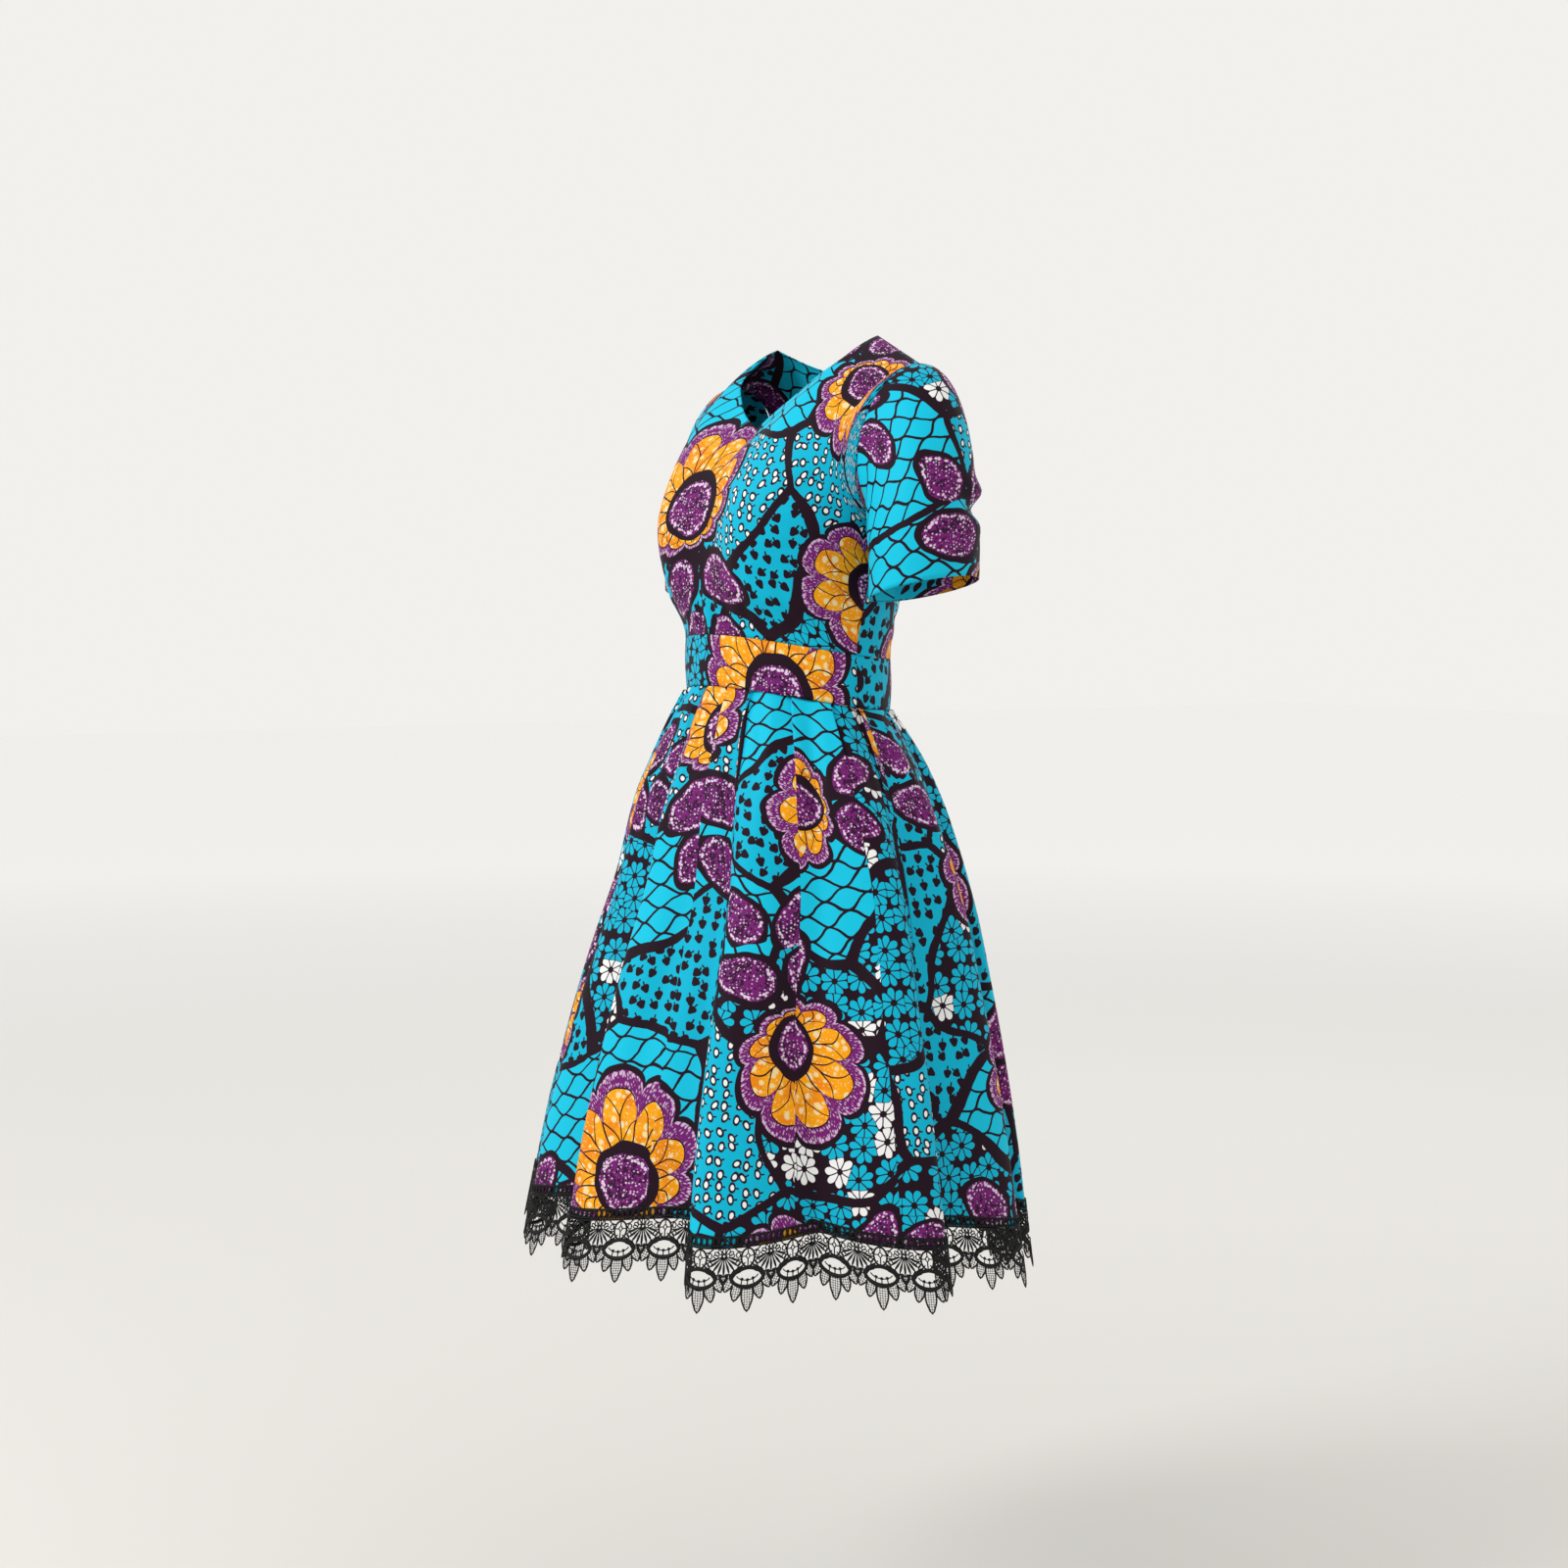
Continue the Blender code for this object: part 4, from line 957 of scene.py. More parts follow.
class Graph:
    """A shader tree to which values and colours add nodes."""

    def __init__(self, tree) -> None:
        self.tree = tree

    def node(self, kind: str, inputs=(), **settings):
        """Return a new node.

        Args:
            kind: its type.
            inputs: what its sockets are fed, in order or by name or index.
            settings: its own settings.
        """
        made = self.tree.nodes.new(kind)
        for name, value in settings.items():
            setattr(made, name, value)
        for key, value in inputs.items() if isinstance(inputs, dict) else enumerate(inputs):
            self.feed(made.inputs[key], value)
        return made

    def feed(self, socket, value) -> None:
        """Link a socket to a value, or set it to a constant."""
        if isinstance(value, Value):
            self.tree.links.new(value.socket, socket)
        else:
            socket.default_value = value

    def math(self, operation: str, *values, clamp: bool = False) -> Number:
        """Return the result of a maths node."""
        made = self.node("ShaderNodeMath", values, operation=operation, use_clamp=clamp)
        return Number(self, made.outputs[0])

    def mix(self, share: Number, low, high) -> Value:
        """Return a mix of two colours."""
        made = self.node("ShaderNodeMix", {0: share, 6: low, 7: high}, data_type="RGBA")
        return Value(self, made.outputs[2])

    def pick(self, share: Number, low: Place, high: Place) -> Place:
        """Return one place or the other."""
        made = self.node("ShaderNodeMix", {0: share, 4: low, 5: high}, data_type="VECTOR")
        return Place(self, made.outputs[1])

    def bump(self, height: Number, strength: float, distance: float) -> Value:
        """Return the surface direction under a fine relief."""
        inputs = {"Strength": strength, "Distance": distance, "Height": height}
        return Value(self, self.node("ShaderNodeBump", inputs).outputs[0])


class WaxPrint:
    """The printed cotton: outlined fields of daisies, nets, rings and drops, under flowers and leaves."""

    def __init__(self, palette: Palette, finish: ClothFinish) -> None:
        self.palette = palette
        self.finish = finish

    def material(self, name: str):
        """Return the finished cloth material."""
        made = bpy.data.materials.new(name)
        made.use_nodes = True
        shader = made.node_tree.nodes["Principled BSDF"]
        self.graph = Graph(made.node_tree)
        uv = Place(self.graph, self.graph.node("ShaderNodeUVMap", uv_map="print_place").outputs[0])
        colour = self.fields(uv.wobble(0.012, 0.0009))
        drawn = uv.wobble(0.034, 0.0040)
        colour = self.flowers(drawn, self.leaves(drawn, colour))
        self.graph.feed(shader.inputs["Base Color"], colour)
        shader.inputs["Roughness"].default_value = self.finish.roughness
        shader.inputs["Specular IOR Level"].default_value = self.finish.specular
        shader.inputs["Sheen Weight"].default_value = self.finish.sheen
        shader.inputs["Sheen Roughness"].default_value = self.finish.sheen_roughness
        relief = self.graph.bump(self.weave(uv), self.finish.weave_strength, self.finish.weave_distance)
        self.graph.feed(shader.inputs["Normal"], relief)
        return made

    def weave(self, place: Place) -> Number:
        """Return the height of the plain weave."""
        warp, weft = ((part * (math.tau / self.finish.weave_pitch)).run("SINE") for part in place.parts())
        return place.grain(0.0035) * 2.0 + warp * weft

    def fields(self, place: Place) -> Value:
        """Return the colour of the fields between the thick lines."""
        bent = place.wobble(0.150, 0.052)
        chance, other = bent.cells(FIELD_PITCH, FIELD_SCATTER).colour.parts()
        colour = self.daisies(place)
        for start, motif in ((0.30, self.net(place, other)), (0.57, self.rings(place)),
                             (0.82, self.drops(place))):
            colour = self.graph.mix(chance > start, colour, motif)
        line = bent.edge(FIELD_PITCH, FIELD_SCATTER).below(0.039, 0.002)
        return self.graph.mix(line, colour, self.palette.dark)

    def daisies(self, place: Place) -> Value:
        """Return a field of small flowers on the dark ground."""
        inside, other = place.local(DAISY_PITCH, DAISY_SCATTER, math.tau)
        x, y = inside.parts()
        far = inside.length()
        share = y.run("ARCTAN2", x).sector(DAISY_PETALS)
        white = other > 0.86
        reach = share.dome(0.36) * (white * 0.0004 + 0.0150)
        gap = (1.0 - share) * far * (math.pi / DAISY_PETALS)
        petal = far.below(reach) * gap.above(0.00062) * far.above(0.0033)
        petal = petal * place.edge(DAISY_PITCH, DAISY_SCATTER).above(0.012, 0.01)
        ink = self.graph.mix(white, self.palette.cyan, self.palette.white)
        return self.graph.mix(petal, self.palette.dark, ink)

    def net(self, place: Place, chance: Number) -> Value:
        """Return a net of waving lines on the plain ground, each field at a slant of its own."""
        u, v = place.wobble(0.045, 0.0060).turned(chance - 0.5).parts()
        rise, period, many = 0.0122, 0.043, 400.0
        swing = u * (math.tau / period)
        wave = swing.run("SINE") * (0.49 * rise)
        rows = []
        for height in (v + rise - wave, v + wave):
            folded = (height + many * rise) % (2.0 * rise)
            rows.append(abs(folded - rise))
        half = abs(swing.run("COSINE")) * 0.0005 + 0.0012
        near = rows[0].run("MINIMUM", rows[1])
        return self.graph.mix(near.below(half), self.palette.light_cyan, self.palette.dark)

    def rings(self, place: Place) -> Value:
        """Return a field of white seeds with dark rings and short tails."""
        x, y = place.local(0.0126, 0.56, 1.5)[0].parts()
        oval = x.join(y * 0.66).length()
        tail = abs(y).below(0.00085) * x.within(0.0, 0.0068)
        colour = self.graph.mix(oval.below(0.0036).either(tail), self.palette.cyan, self.palette.dark)
        return self.graph.mix(oval.below(0.0019), colour, self.palette.white)

    def drops(self, place: Place) -> Value:
        """Return a field of dark three-lobed drops."""
        inside = place.local(0.0142, 0.50, 2.0)[0]
        x, y = inside.parts()
        lobe = (x.run("ARCTAN2", y) * 3.0).run("COSINE")
        stem = abs(x).below(0.0009) * y.within(0.0, 0.0078)
        dark = inside.length().below(lobe * -0.0006 + 0.0044).either(stem)
        return self.graph.mix(dark, self.palette.cyan, self.palette.dark)

    def crackle(self, place: Place, lift: Number) -> Value:
        """Return the purple of the motifs, broken up by dark flecks and pale dots, more where lifted."""
        depth = place.grain(0.0210, 1.0) * -0.45 + 0.70
        flecks = place.grain(0.0042).below(depth, 0.03)
        colour = self.graph.mix(flecks, self.palette.purple, self.palette.deep_purple)
        dots = place.cells(0.0034, DOT_SCATTER)
        size = dots.colour.parts()[0] * 0.46 + lift
        return self.graph.mix(dots.distance.below(size, 0.10), colour, self.palette.pale)

    def leaves(self, place: Place, under: Value) -> Value:
        """Return the colour with purple leaves on dark stems over it."""
        half_width, half_length, bend = 0.0215, 0.0340, 6.0
        x, y = place.nearest(LEAVES).parts()
        wide = x * (y * bend + 1.0) / half_width
        oval = wide.join(y / half_length).length()
        stem = abs(y * y * bend + x).below(0.0062, 0.0003) * y.within(-0.066, -0.030, 0.0006)
        colour = self.graph.mix(oval.below(1.26, 0.01).either(stem), under, self.palette.dark)
        lift = oval.within(0.80, 0.93, 0.03) * 0.34 - 0.17
        return self.graph.mix(oval.below(1.0, 0.01), colour, self.crackle(place, lift))

    def flowers(self, place: Place, under: Value) -> Value:
        """Return the colour with the large fan flowers over it, their petals growing towards the top."""
        dark = self.palette.dark
        inside = place.nearest(FLOWERS)
        x, y = inside.parts()
        far = inside.length()
        turn = abs(x.run("ARCTAN2", y))
        crown = y / far.either(0.001) * 0.5 + 0.5
        reach = crown * 0.062 + 0.041
        slant = (turn * PETAL_RATE + 0.5).run("FRACT") * 2.0 - 1.0
        arch = abs(slant).dome(0.0, 0.985)
        border = reach + (crown ** 0.5 * 0.0150 + 0.004)
        outer = border * (arch * 0.190 + 0.810)
        colour = self.graph.mix(far.below(outer + 0.0080), under, dark)
        depth = outer - far
        hatch = (turn * 0.085).join(depth * 0.36).cells(0.0021, 1.0)
        rim = depth.within(0.0006, 0.0044, 0.0008)
        dash = hatch.distance.below(hatch.colour.parts()[0] * 0.32 + (rim * 0.26 + 0.02), 0.10)
        inked = self.graph.mix(dash * 0.80, self.palette.purple, self.palette.pale)
        colour = self.graph.mix(far.below(outer), colour, inked)
        inner = (reach - 0.030) * (arch * 0.60 + 0.40) + 0.030
        colour = self.graph.mix(far.below(inner + 0.0018), colour, dark)
        petals = self.petals(place, far, slant, reach)
        colour = self.graph.mix(far.below(inner), colour, petals)
        ring = inside.run("SUBTRACT", (0.0030, 0.0040, 0.0)).length()
        colour = self.graph.mix(ring.below(0.0410), colour, dark)
        eye = (x * (y * -5.0 + 1.0)).join(y).length()
        lift = eye.within(0.0255, 0.0295, 0.0008) * 0.34 - 0.14
        return self.graph.mix(eye.below(0.0315), colour, self.crackle(place, lift))

    def petals(self, place: Place, far: Number, slant: Number, reach: Number) -> Value:
        """Return the amber of the petals with their veins and pale spots.

        Args:
            place: the place in the print.
            far: the distance from the flower's centre.
            slant: where the place lies across its petal, from -1 to 1.
            reach: the length of the petal.
        """
        half, foot = far * (0.5 / PETAL_RATE), 0.036
        colour = self.graph.mix(place.grain(0.024).below(0.46, 0.08), self.palette.amber, self.palette.orange)
        for pitch, most in ((0.0092, 0.38), (0.0034, 0.21)):
            spots = place.cells(pitch, DOT_SCATTER)
            spot = spots.distance.below(spots.colour.parts()[0] * most, 0.07)
            colour = self.graph.mix(spot, colour, self.palette.cream)
        climb = (far - foot) / (reach - foot)
        lines = ((1.0 - abs(slant)) * half).below(0.0010)
        for start, run, way in ((0.02, 0.50, -1.0), (0.26, 0.58, 1.0), (0.50, 0.66, -1.0)):
            bow = (climb * (1.0 / run) - start / run).either(0.0) ** 1.35
            lines = lines.either((abs(bow * way + slant) * half).below(0.0008))
        return self.graph.mix(lines, colour, self.palette.dark)


def plain_material(name: str, colour: tuple, roughness: float, specular: float = 0.5,
                   grain_pitch: float = 0.0):
    """Return a plain material.

    Args:
        name: its name.
        colour: its linear colour.
        roughness: how dull it is.
        specular: how strongly it mirrors.
        grain_pitch: the size of its fine grain in metres, or 0 for none.
    """
    made = bpy.data.materials.new(name)
    made.use_nodes = True
    shader = made.node_tree.nodes["Principled BSDF"]
    shader.inputs["Base Color"].default_value = colour
    shader.inputs["Roughness"].default_value = roughness
    shader.inputs["Specular IOR Level"].default_value = specular
    if grain_pitch:
        graph = Graph(made.node_tree)
        place = Place(graph, graph.node("ShaderNodeTexCoord").outputs["Object"])
        relief = graph.bump(place.grain(grain_pitch, dimensions="3D"), 0.5, 0.0003)
        graph.feed(shader.inputs["Normal"], relief)
    return made


def place_piece(obj, body: str, node: str) -> None:
    """Let a piece move with its body and stand for its solid."""
    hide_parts(node)
    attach(obj, body)


def declare_cloth(sheet, flat: tuple, area: float) -> None:
    """State the cut of a sheet of cloth."""
    LOG.info("%s: flat %.3f by %.3f m, %.4f square metres", sheet.name, *flat, area)


@dataclass
class Sewn:
    """A part of the dress that is sewn from sheets of the printed cotton."""

    material: object

    def sew(self, grid: ClothGrid, node: str, held: Held, pull: tuple, turn: tuple,
            rests_on: tuple = (), rows: int = 0) -> None:
        """Finish the edges of one sheet and place it.

        Args:
            grid: the sheet's points.
            node: the solid that it stands for.
            held: how it is held; not used.
            pull: how far its bottom, top, start and end edges are drawn in.
            turn: how far those edges are turned to the inside.
            rests_on: the nodes that carry it; not used.
            rows: how many rows from the bottom count for its width, or 0 for all of them.
        """
        flat, area = grid.cut(rows)
        grid.pull(*pull)
        grid.turn_in(*turn)
        sheet = grid.build(node + "_cloth", self.material)
        place_piece(sheet, "dress", node)
        declare_cloth(sheet, flat, area)


@dataclass
class Bodice(Sewn):
    """The front bodice and the two back halves."""

    def build(self) -> None:
        """Build the three sheets."""
        left = [bodice_column(*column) for column in top_edge(True)]
        back = [bodice_column(*column) for column in reversed(top_edge(False))]
        for name, columns, creases, side, centre, origin in (
                ("bodice_front", mirrored(left)[:-1] + left, BODICE_FRONT_CREASES, 1.0,
                 len(left) - 1, (0.150, 0.030)),
                ("bodice_back_left", back, BODICE_BACK_CREASES, 1.0, len(back) // 2, (0.350, 0.110)),
                ("bodice_back_right", mirrored(back), BODICE_BACK_CREASES, -1.0,
                 len(back) // 2, (0.050, 0.250))):
            grid = ClothGrid(columns)
            grid.press(creases, side * grid.points[..., 0].ravel(), grid.points[..., 2].ravel(), 1.0)
            grid.lay_print(origin, centre)
            self.sew(grid, name, Held.STRETCHED, (SEAM_PULL, 0.0, SEAM_PULL, SEAM_PULL),
                     (TURN_IN, EDGE_ROLL, TURN_IN, TURN_IN), rows=LOWER_ROWS + 1)


@dataclass
class Sleeves(Sewn):
    """The two short set-in sleeves, the right one with its creases a little further round."""

    def build(self) -> None:
        """Build both sleeves."""
        angles = [180.0 - 360.0 * index / SLEEVE_COLUMNS for index in range(SLEEVE_COLUMNS)]
        left = [sleeve_column(angle) for angle in angles]
        for name, columns, keys, shift, origin in (
                ("sleeve_left", left, angles, 0.0, (0.250, 0.335)),
                ("sleeve_right", mirrored(left), list(reversed(angles)), 7.0, (0.020, 0.120))):
            grid = ClothGrid(columns, closed=True)
            key = np.repeat([(angle + shift) % 360.0 for angle in keys], grid.points.shape[1])
            grid.press(SLEEVE_CREASES, key, grid.points[..., 2].ravel(), METRES_PER_DEGREE)
            centre = int(np.argmin(np.abs(np.array(keys) % 360.0 - SLEEVE_PRINT_ANGLE)))
            grid.lay_print(origin, centre)
            self.sew(grid, name, Held.HUNG, (), (EDGE_ROLL, TURN_IN), ("bodice_front",))


@dataclass
class Waistband(Sewn):
    """The set-in waistband in front and its two halves behind."""

    def build(self) -> None:
        """Build the three sheets."""
        for name, start, end, origin in (
                ("waistband_front", -90.0, 90.0, (0.030, 0.160)),
                ("waistband_back_left", 90.0, 180.0, (0.300, 0.050)),
                ("waistband_back_right", 180.0, 270.0, (0.180, 0.380))):
            steps = round(BAND_COLUMNS * (end - start) / 180.0)
            grid = ClothGrid([band_column(start + (end - start) * index / steps)
                              for index in range(steps + 1)])
            grid.lay_print(origin, steps // 2)
            self.sew(grid, name, Held.STRETCHED, (SEAM_PULL,) * 4, (TURN_IN,) * 4)


@dataclass
class Skirt(Sewn):
    """The pleated skirt: a front and two back halves."""

    def __post_init__(self) -> None:
        self.positions = hem_positions()
        ranks = [row / SKIRT_ROWS for row in range(SKIRT_ROWS + 1)]
        shares = [0.35 * rank + 0.65 * rank ** 1.8 for rank in reversed(ranks)]
        columns = [[skirt_point(position, share) for share in shares] for position in self.positions[:-1]]
        whole = ClothGrid(columns, closed=True)
        key = np.repeat(self.positions[:-1], len(shares))
        whole.press(SKIRT_CREASES, key, np.tile(shares, len(columns)), 1.0)
        self.whole = np.concatenate([whole.points, whole.points[:1]])
        self.left_seam = bisect.bisect_left(self.positions, LEFT_SEAM)
        self.back_seam = bisect.bisect_left(self.positions, BACK_SEAM)

    def build(self) -> None:
        """Build the three sheets, with a break in the print at each pleat."""
        hem = arc_lengths(self.whole, 0)[:, 0]
        places = [(pleat.place - RIGHT_SEAM) % len(FOLDS) + RIGHT_SEAM for pleat in PLEATS]
        breaks = sorted(bisect.bisect_left(self.positions, place) for place in places)
        for name, first, last, shift in (
                ("skirt_front", 0, self.left_seam, (0.060, 0.205)),
                ("skirt_back_left", self.left_seam, self.back_seam, (0.200, 0.020)),
                ("skirt_back_right", self.back_seam, HEM_FACETS, (0.310, 0.330))):
            grid = ClothGrid(self.whole[first:last + 1])
            inside = [column - first for column in breaks if first < column < last]
            self.lay_print(grid, hem[first:last + 1], inside, shift)
            self.sew(grid, name, Held.GATHERED, (0.0, 0.0, SEAM_PULL, SEAM_PULL),
                     (0.0, TURN_IN, TURN_IN, TURN_IN), ("waistband_front",))

    def lay_print(self, grid: ClothGrid, hem: np.ndarray, breaks: list, shift: tuple) -> None:
        """Lay the print straight down each stretch between pleats, so that it jumps at each pleat."""
        across = arc_lengths(grid.points, 0)
        height = arc_lengths(grid.points, 1)
        grid.print_u = np.zeros(across.shape)
        grid.print_v = shift[1] + height - height[:, [-1]]
        edges = [0] + breaks + [len(hem) - 1]
        before = None
        for left, right in zip(edges, edges[1:]):
            middle = (left + right) // 2
            local = shift[0] + hem[middle] + across[left:right + 1] - across[middle]
            grid.print_u[left:right + 1] = local
            if before is not None:
                grid.breaks.append((left, before, local[0]))
            before = local[-1]


Stroke = namedtuple("Stroke", "points widths closed")


class LacePattern:
    """One repeat of the border, drawn in millimetres: x along the hem and y down from its edge."""

    def __init__(self, width: float) -> None:
        self.width = width
        self.strokes: list = []
        for draw in (self.heading, self.fan, self.eye, self.arch, self.drops):
            draw()

    def line(self, thread: float, *points) -> None:
        """Draw an open thread of one thickness through these points."""
        self.strokes.append(Stroke(points, (thread,) * len(points), False))

    def ring(self, x: float, y: float, wide: float, high: float, thread: float, steps: int,
             turn: float = 0.0) -> None:
        """Draw an oval ring of thread about a point."""
        points = []
        for index in range(steps):
            angle = math.tau * index / steps
            across, down = wide * math.sin(angle), -high * math.cos(angle)
            points.append((x + across * math.cos(turn) - down * math.sin(turn),
                           y + across * math.sin(turn) + down * math.cos(turn)))
        self.strokes.append(Stroke(tuple(points), (thread,) * steps, True))

    def bow(self, y: float, wide: float, high: float, start: float, end: float, *threads) -> None:
        """Draw part of an oval about the middle, from one angle to another, its thickness changing."""
        steps = 4 * (len(threads) - 1)
        turns = np.radians(np.linspace(start, end, steps + 1))
        points = np.stack([wide * np.sin(turns), y - high * np.cos(turns)], axis=1)
        widths = np.interp(np.linspace(0.0, 1.0, steps + 1), np.linspace(0.0, 1.0, len(threads)), threads)
        self.strokes.append(Stroke(points, widths, False))

    def heading(self) -> None:
        """Draw the chain that is sewn on the cloth, with its small loops."""
        left, steps, loops = -0.5 * self.width, 12, 8
        for y, thread in ((-10.2, 0.75), (-1.8, 0.85), (0.4, 0.85)):
            self.line(thread, *((left + self.width * index / steps, y) for index in range(steps + 1)))
        for index in range(loops):
            self.ring(left + self.width * (index + 0.5) / loops, -6.0, 2.15, 3.7, 0.62, 10)
        for index in range(loops):
            x = left + self.width * index / loops
            self.line(0.55, (x, -10.2), (x, -1.6))

    def fan(self) -> None:
        """Draw the fan of petals about a small ring, with loops above and a net below."""
        x, y = -0.5 * self.width, 7.6

        def ray(far: float, degrees: float, squash: float = 1.0) -> tuple:
            turn = math.radians(degrees)
            return x + far * math.sin(turn) * squash, y + far * math.cos(turn)

        self.ring(x, y, 1.9, 1.9, 1.10, 8)
        for index in range(7):
            turn = math.radians(-93.0 + 31.0 * index)
            self.ring(x + 7.6 * math.sin(turn), y - 4.6 * math.cos(turn), 1.45, 2.5, 0.62, 8, turn * 0.8)
        for index in range(9):
            long = 15.5 - 2.5 * abs(index - 4) / 4.0
            points = [ray(2.4 + long * share, -70.0 + 17.5 * index) for share in (0.0, 0.3, 0.6, 0.85, 1.0)]
            self.strokes.append(Stroke(points, (0.52, 0.75, 1.35, 1.15, 0.55), False))
        for reach, thread in ((18.5, 0.85), (22.6, 0.70)):
            self.line(thread, *(ray(reach + 0.9 * (-1.0) ** index, -72.0 + 12.0 * index, 0.90)
                                for index in range(13)))
        for index in range(8):
            degrees = -42.0 + 12.0 * index
            self.line(0.50, ray(18.5, degrees, 0.90), ray(23.4, degrees, 0.82))

    def eye(self) -> None:
        """Draw the oval ring with its small diamond."""
        self.ring(0.0, 10.4, 6.2, 8.6, 1.05, 20)
        self.ring(0.0, 9.0, 2.0, 2.9, 0.85, 4)
        self.line(0.62, (0.0, 2.4), (0.0, 6.4))
        self.line(0.70, (0.0, 11.8), (0.0, 19.4))
        for side in (-1.0, 1.0):
            self.line(0.60, (side * 2.2, 9.2), (side * 6.0, 9.0))
            self.line(0.62, (side * 6.2, 11.6), (side * 11.4, 11.2))
            self.line(0.72, (side * 5.6, 5.0), (side * 9.6, 3.6), (side * 12.6, 0.6))
            self.line(0.80, (side * 4.6, 17.4), (side * 9.0, 19.4), (side * 13.6, 23.0))
            self.ring(side * 9.2, 7.4, 1.9, 2.6, 0.66, 8)
            self.ring(side * 9.4, 15.2, 2.1, 2.2, 0.66, 8)

    def arch(self) -> None:
        """Draw the thick corded mouth with three knots in it."""
        self.bow(29.6, 15.2, 9.2, -112.0, 112.0, 1.2, 2.4, 2.5, 1.7, 2.5, 2.4, 1.2)
        self.bow(28.0, 14.6, 9.8, 100.0, 260.0, 1.4, 2.2, 2.5, 2.2, 1.4)
        self.bow(25.4, 10.6, 6.2, 106.0, 254.0, 0.60, 0.60, 0.60)
        for x, y in ((-5.2, 30.4), (0.0, 31.5), (5.2, 30.4)):
            self.ring(x, y, 0.7, 0.7, 1.05, 6)
            self.line(0.62, (x, y + 0.8), (x * 1.15, y + 5.0))

    def drops(self) -> None:
        """Draw the netted drops that hang from the mouth."""
        self.net_drop(0.0, 38.4, 5.4, 22.6, 0.0)
        for side in (-1.0, 1.0):
            self.net_drop(side * 9.6, 37.0, 4.6, 13.6, side * 0.20)
            self.net_drop(side * 16.4, 30.4, 4.2, 11.6, side * 0.40)
            self.net_drop(side * 21.4, 25.0, 3.2, 9.6, side * 0.16)

    def net_drop(self, x: float, y: float, half: float, long: float, lean: float) -> None:
        """Draw one drop with a corded rim and a square net inside.

        Args:
            x: the place of its head along the hem.
            y: the height of its head.
            half: half its greatest width.
            long: its length.
            lean: how far it swings out, as an angle.
        """
        def at(across: float, down: float) -> tuple:
            return (x + across * math.cos(lean) + down * math.sin(lean),
                    y - across * math.sin(lean) + down * math.cos(lean))

        def reach(share: float) -> float:
            body = 0.62 + 0.38 * math.sin(math.pi * min(0.22 + 0.95 * share, 1.0))
            return half * body * max(1.0 - (max(0.0, share - 0.45) / 0.55) ** 2, 0.0) ** 0.5

        steps, pitch = 9, 2.3
        sides = [(reach(index / steps), long * index / steps) for index in range(steps)]
        rim = [at(-wide, down) for wide, down in sides] + [at(0.0, long)]
        self.line(0.95, *rim, *(at(wide, down) for wide, down in reversed(sides)))
        for row in range(1, int(long / pitch)):
            wide = reach(row * pitch / long)
            self.line(0.30, at(-wide, row * pitch), at(wide, row * pitch))
        for side in (-0.5, 0.5) if half < 4.5 else (-1.0, 0.0, 1.0):
            across, low = side * pitch, long
            while low > 0 and reach(low / long) < abs(across) + 0.2:
                low -= 0.5
            self.line(0.30, at(across, 0.0), at(across, 0.5 * low), at(across, low))


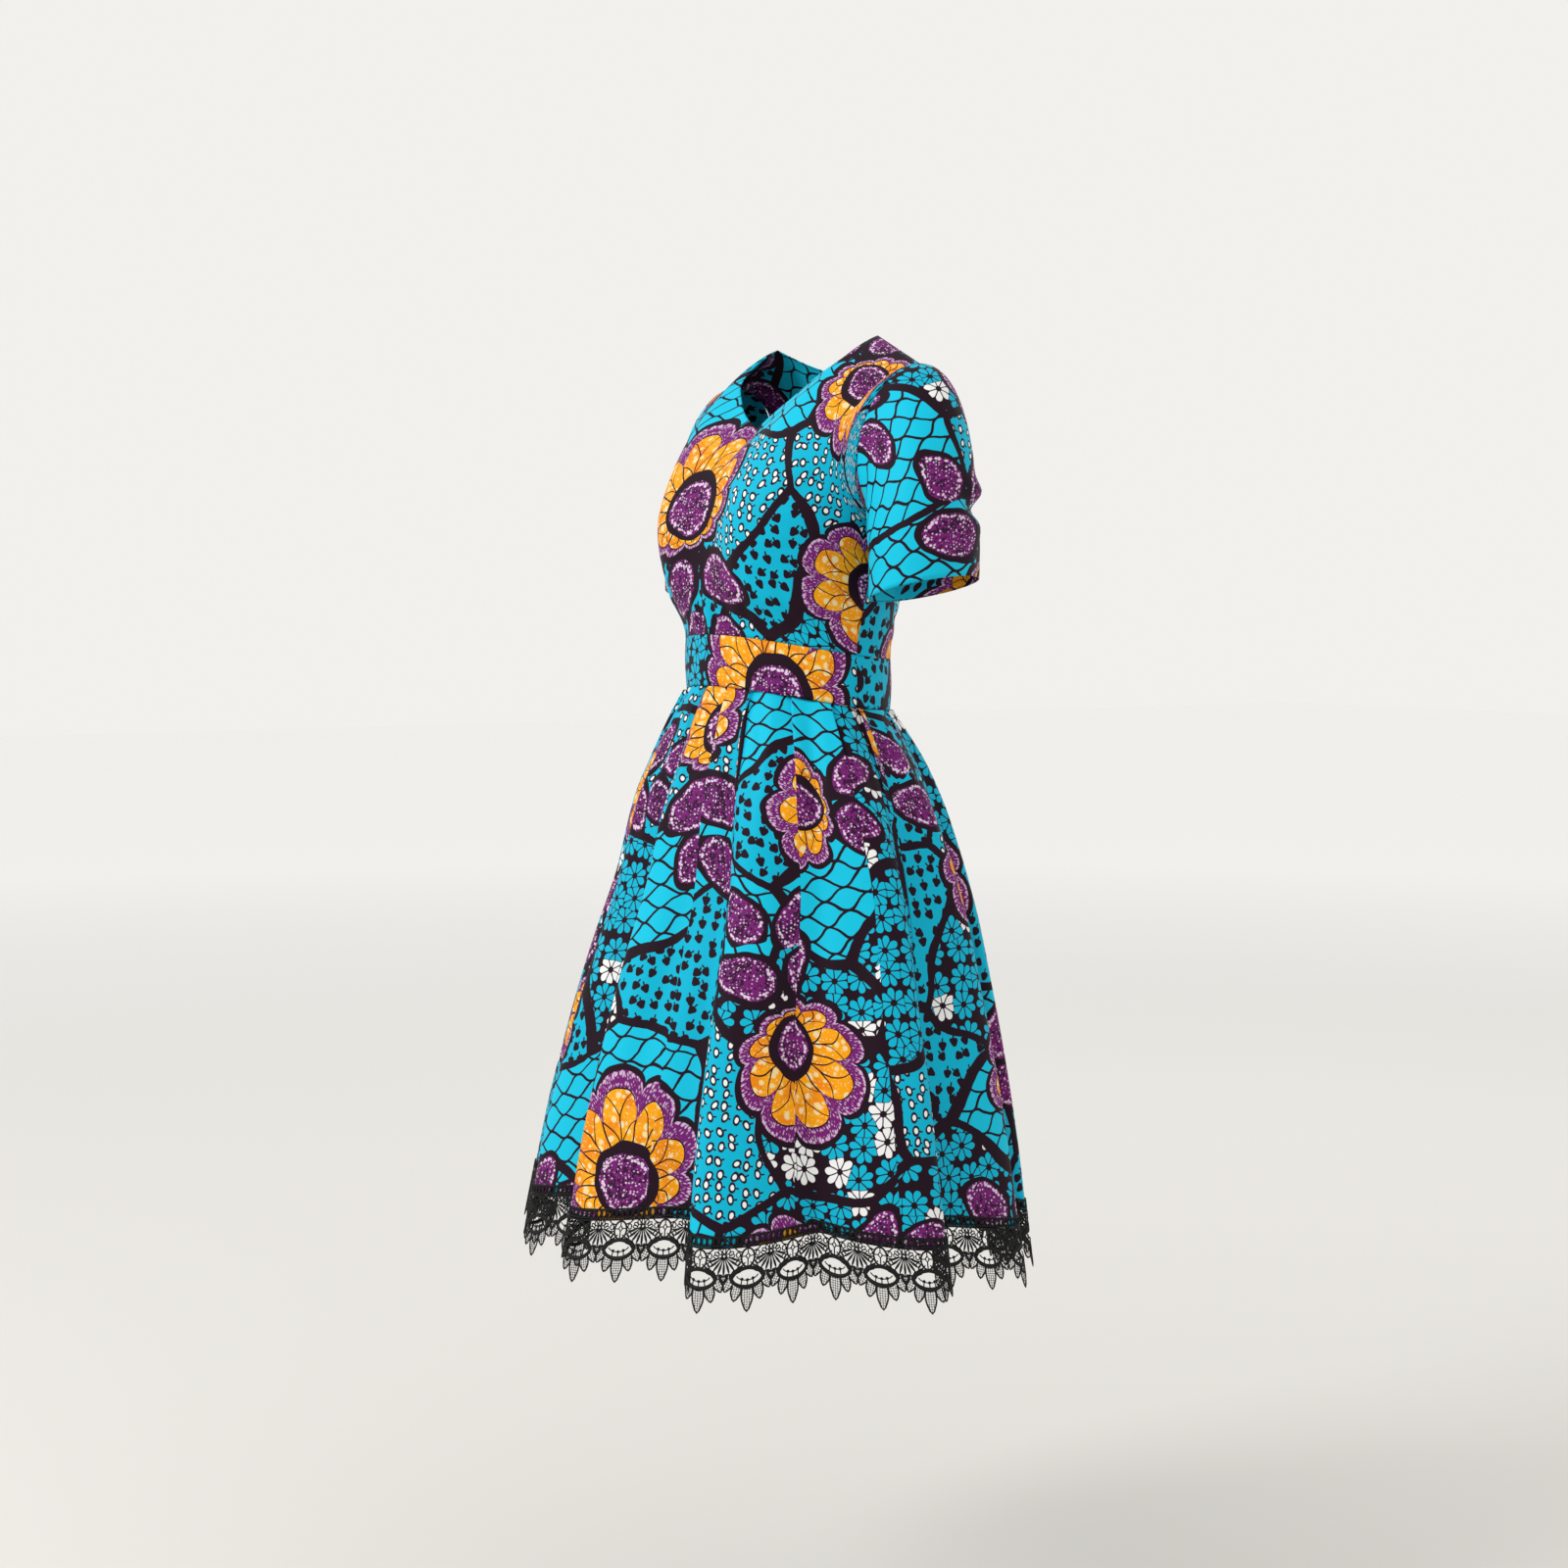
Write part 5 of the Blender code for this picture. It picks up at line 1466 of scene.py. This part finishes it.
class LaceBorder:
    """The corded lace along the hem, in a front and a back stretch."""

    def __init__(self, material, skirt: Skirt) -> None:
        self.material = material
        edge, above = skirt.whole[:, 0], skirt.whole[:, 3]
        self.along = arc_lengths(skirt.whole, 0)[:, 0]
        self.length = float(self.along[-1])
        down = unit(edge - above)
        travel = unit(np.roll(edge[:-1], -1, axis=0) - np.roll(edge[:-1], 1, axis=0))
        travel = np.concatenate([travel, travel[:1]])
        self.tables = (edge, down, unit(np.cross(travel, -down)), travel)
        self.split = skirt.left_seam

    def frames(self, places: np.ndarray) -> tuple:
        """Return edge points, down, outward and along directions at lengths along the hem."""
        wrapped = np.mod(places, self.length)
        edge, *ways = (np.stack([np.interp(wrapped, self.along, column) for column in table.T], axis=1)
                       for table in self.tables)
        return edge, *(unit(way) for way in ways)

    def tube(self, stroke: Stroke, centre: float) -> tuple:
        """Return the vertices and faces of one thread, laid along the hem.

        Args:
            stroke: the thread in millimetres.
            centre: the length along the hem of the middle of its repeat.
        """
        flat = MILLIMETRE * np.array(stroke.points, float)
        width = MILLIMETRE * np.array(stroke.widths, float)
        ahead = np.gradient(flat, axis=0)
        if stroke.closed:
            ahead = np.roll(flat, -1, axis=0) - np.roll(flat, 1, axis=0)
        ahead = unit(ahead)
        base, down, outward, along = self.frames(centre + flat[:, 0])
        middle = base + down * flat[:, [1]] + outward * LACE_LIFT
        across = unit(down * ahead[:, [0]] - along * ahead[:, [1]])
        height = np.minimum(width, LACE_HEIGHT)
        turns = math.tau * (np.arange(LACE_SIDES) + 0.5) / LACE_SIDES
        rings = (middle[:, None] + across[:, None] * (width[:, None] * np.cos(turns))[..., None]
                 + outward[:, None] * (height[:, None] * np.sin(turns))[..., None])
        count = len(flat)
        faces = []
        for index in range(count if stroke.closed else count - 1):
            here, beside = index * LACE_SIDES, (index + 1) % count * LACE_SIDES
            for turn in range(LACE_SIDES):
                over = (turn + 1) % LACE_SIDES
                faces.append((here + turn, here + over, beside + over, beside + turn))
        if not stroke.closed:
            faces.append(tuple(range(LACE_SIDES - 1, -1, -1)))
            faces.append(tuple((count - 1) * LACE_SIDES + turn for turn in range(LACE_SIDES)))
        return rings.reshape(-1, 3), faces

    def build(self) -> None:
        """Build the two stretches."""
        repeat = self.length / LACE_REPEATS
        strokes = LacePattern(repeat / MILLIMETRE).strokes
        half = round(self.split / FACETS_PER_REPEAT)
        for name, first, last in (("lace_front", 0, half), ("lace_back", half, LACE_REPEATS)):
            points, faces, total = [], [], 0
            for index in range(first, last):
                for stroke in strokes:
                    made, linked = self.tube(stroke, (index + 0.5) * repeat)
                    points.append(made)
                    faces += [tuple(corner + total for corner in face) for face in linked]
                    total += len(made)
            mesh = bpy.data.meshes.new(name + "_thread")
            mesh.from_pydata(np.concatenate(points).tolist(), [], faces)
            mesh.shade_smooth()
            obj = link(bpy.data.objects.new(name + "_thread", mesh))
            mesh.materials.append(self.material)
            place_piece(obj, "dress", name)
            long = round((last - first) * repeat, 3)
            area = 0.5 * sum(face.area for face in mesh.polygons)
            declare_cloth(obj, (long, LACE_WIDTH), round(area, 4))


class Studio:
    """The pale floor, the soft lights and the camera."""

    def build(self) -> None:
        """Build all three."""
        self.floor()
        self.lights()
        self.camera()

    def floor(self) -> None:
        """Lay the floor, which grows paler with the distance: painted shade darkens it near the dress against
        the lights' pool of light.
        """
        bpy.ops.mesh.primitive_plane_add(size=40.0, location=(0.0, 0.0, -1.35))
        floor = bpy.context.object
        floor.name = "studio_floor"
        made = plain_material("studio_floor", FLOOR_FAR, 0.9)
        graph = Graph(made.node_tree)
        far = Place(graph, graph.node("ShaderNodeTexCoord").outputs["Object"]).length()
        # painted shade: the floor is darker near the dress to offset the key light's pool of light there, and
        # nearly white far off
        paint = graph.mix(1.0 - far.below(4.5, 4.0), FLOOR_NEAR_PAINTED_SHADE, FLOOR_FAR)
        graph.feed(made.node_tree.nodes["Principled BSDF"].inputs["Base Color"], paint)
        floor.data.materials.append(made)

    def lights(self) -> None:
        """Hang the lights and set the pale surroundings."""
        world = bpy.data.worlds.new("studio")
        bpy.context.scene.world = world
        world.use_nodes = True
        background = world.node_tree.nodes["Background"]
        background.inputs["Color"].default_value = (1.0, 0.986, 0.955, 1.0)
        background.inputs["Strength"].default_value = 0.885
        bpy.context.scene.view_settings.view_transform = "Standard"
        for name, place, size, power in (
                ("key", (-0.2, -3.0, 1.6), 1.2, 64.0),
                ("fill", (3.2, 0.6, 0.9), 2.4, 6.0),
                ("back", (-1.6, 2.6, 1.6), 2.0, 13.0)):
            data = bpy.data.lights.new(name, "AREA")
            data.size = size
            data.energy = power
            lamp = link(bpy.data.objects.new(name, data))
            aim(lamp, Vector(place), Vector((0.0, 0.0, LIGHTS_AIM)) - Vector(place))

    def camera(self) -> None:
        """Set the camera at the photograph's angle, with the dress where it stands in the picture."""
        azimuth = math.radians(CAMERA_AZIMUTH)
        toward = Vector((math.sin(azimuth), -math.cos(azimuth), 0.0))
        data = bpy.data.cameras.new("camera")
        data.sensor_width = SENSOR_WIDTH
        data.lens = FOCAL_PIXELS / PHOTO_PIXELS * SENSOR_WIDTH
        data.clip_start = 0.05
        data.clip_end = 60.0
        middle = 0.5 * PHOTO_PIXELS
        look = Matrix.Rotation(math.atan((DRESS_COLUMN - middle) / FOCAL_PIXELS), 3, "Z") @ (-toward)
        side = look.cross(Vector((0.0, 0.0, 1.0)))
        look = Matrix.Rotation(-math.atan((middle - DRESS_ROW) / FOCAL_PIXELS), 3, side) @ look
        camera = link(bpy.data.objects.new("camera", data))
        aim(camera, toward * CAMERA_DISTANCE + Vector((0.0, 0.0, CAMERA_HEIGHT)), look)
        bpy.context.scene.camera = camera


def main() -> None:
    """Build the dress and its studio in order."""
    logging.basicConfig(level=logging.INFO, format="%(name)s: %(message)s")
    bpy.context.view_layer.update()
    cloth = WaxPrint(Palette(), ClothFinish()).material("wax_print_cotton")
    thread = ThreadFinish()
    lace = plain_material("lace_thread", thread.colour, thread.roughness, thread.specular, thread.grain_pitch)
    Bodice(cloth).build()
    Sleeves(cloth).build()
    Waistband(cloth).build()
    skirt = Skirt(cloth)
    skirt.build()
    LaceBorder(lace, skirt).build()
    Studio().build()


if __name__ == "__main__":
    main()
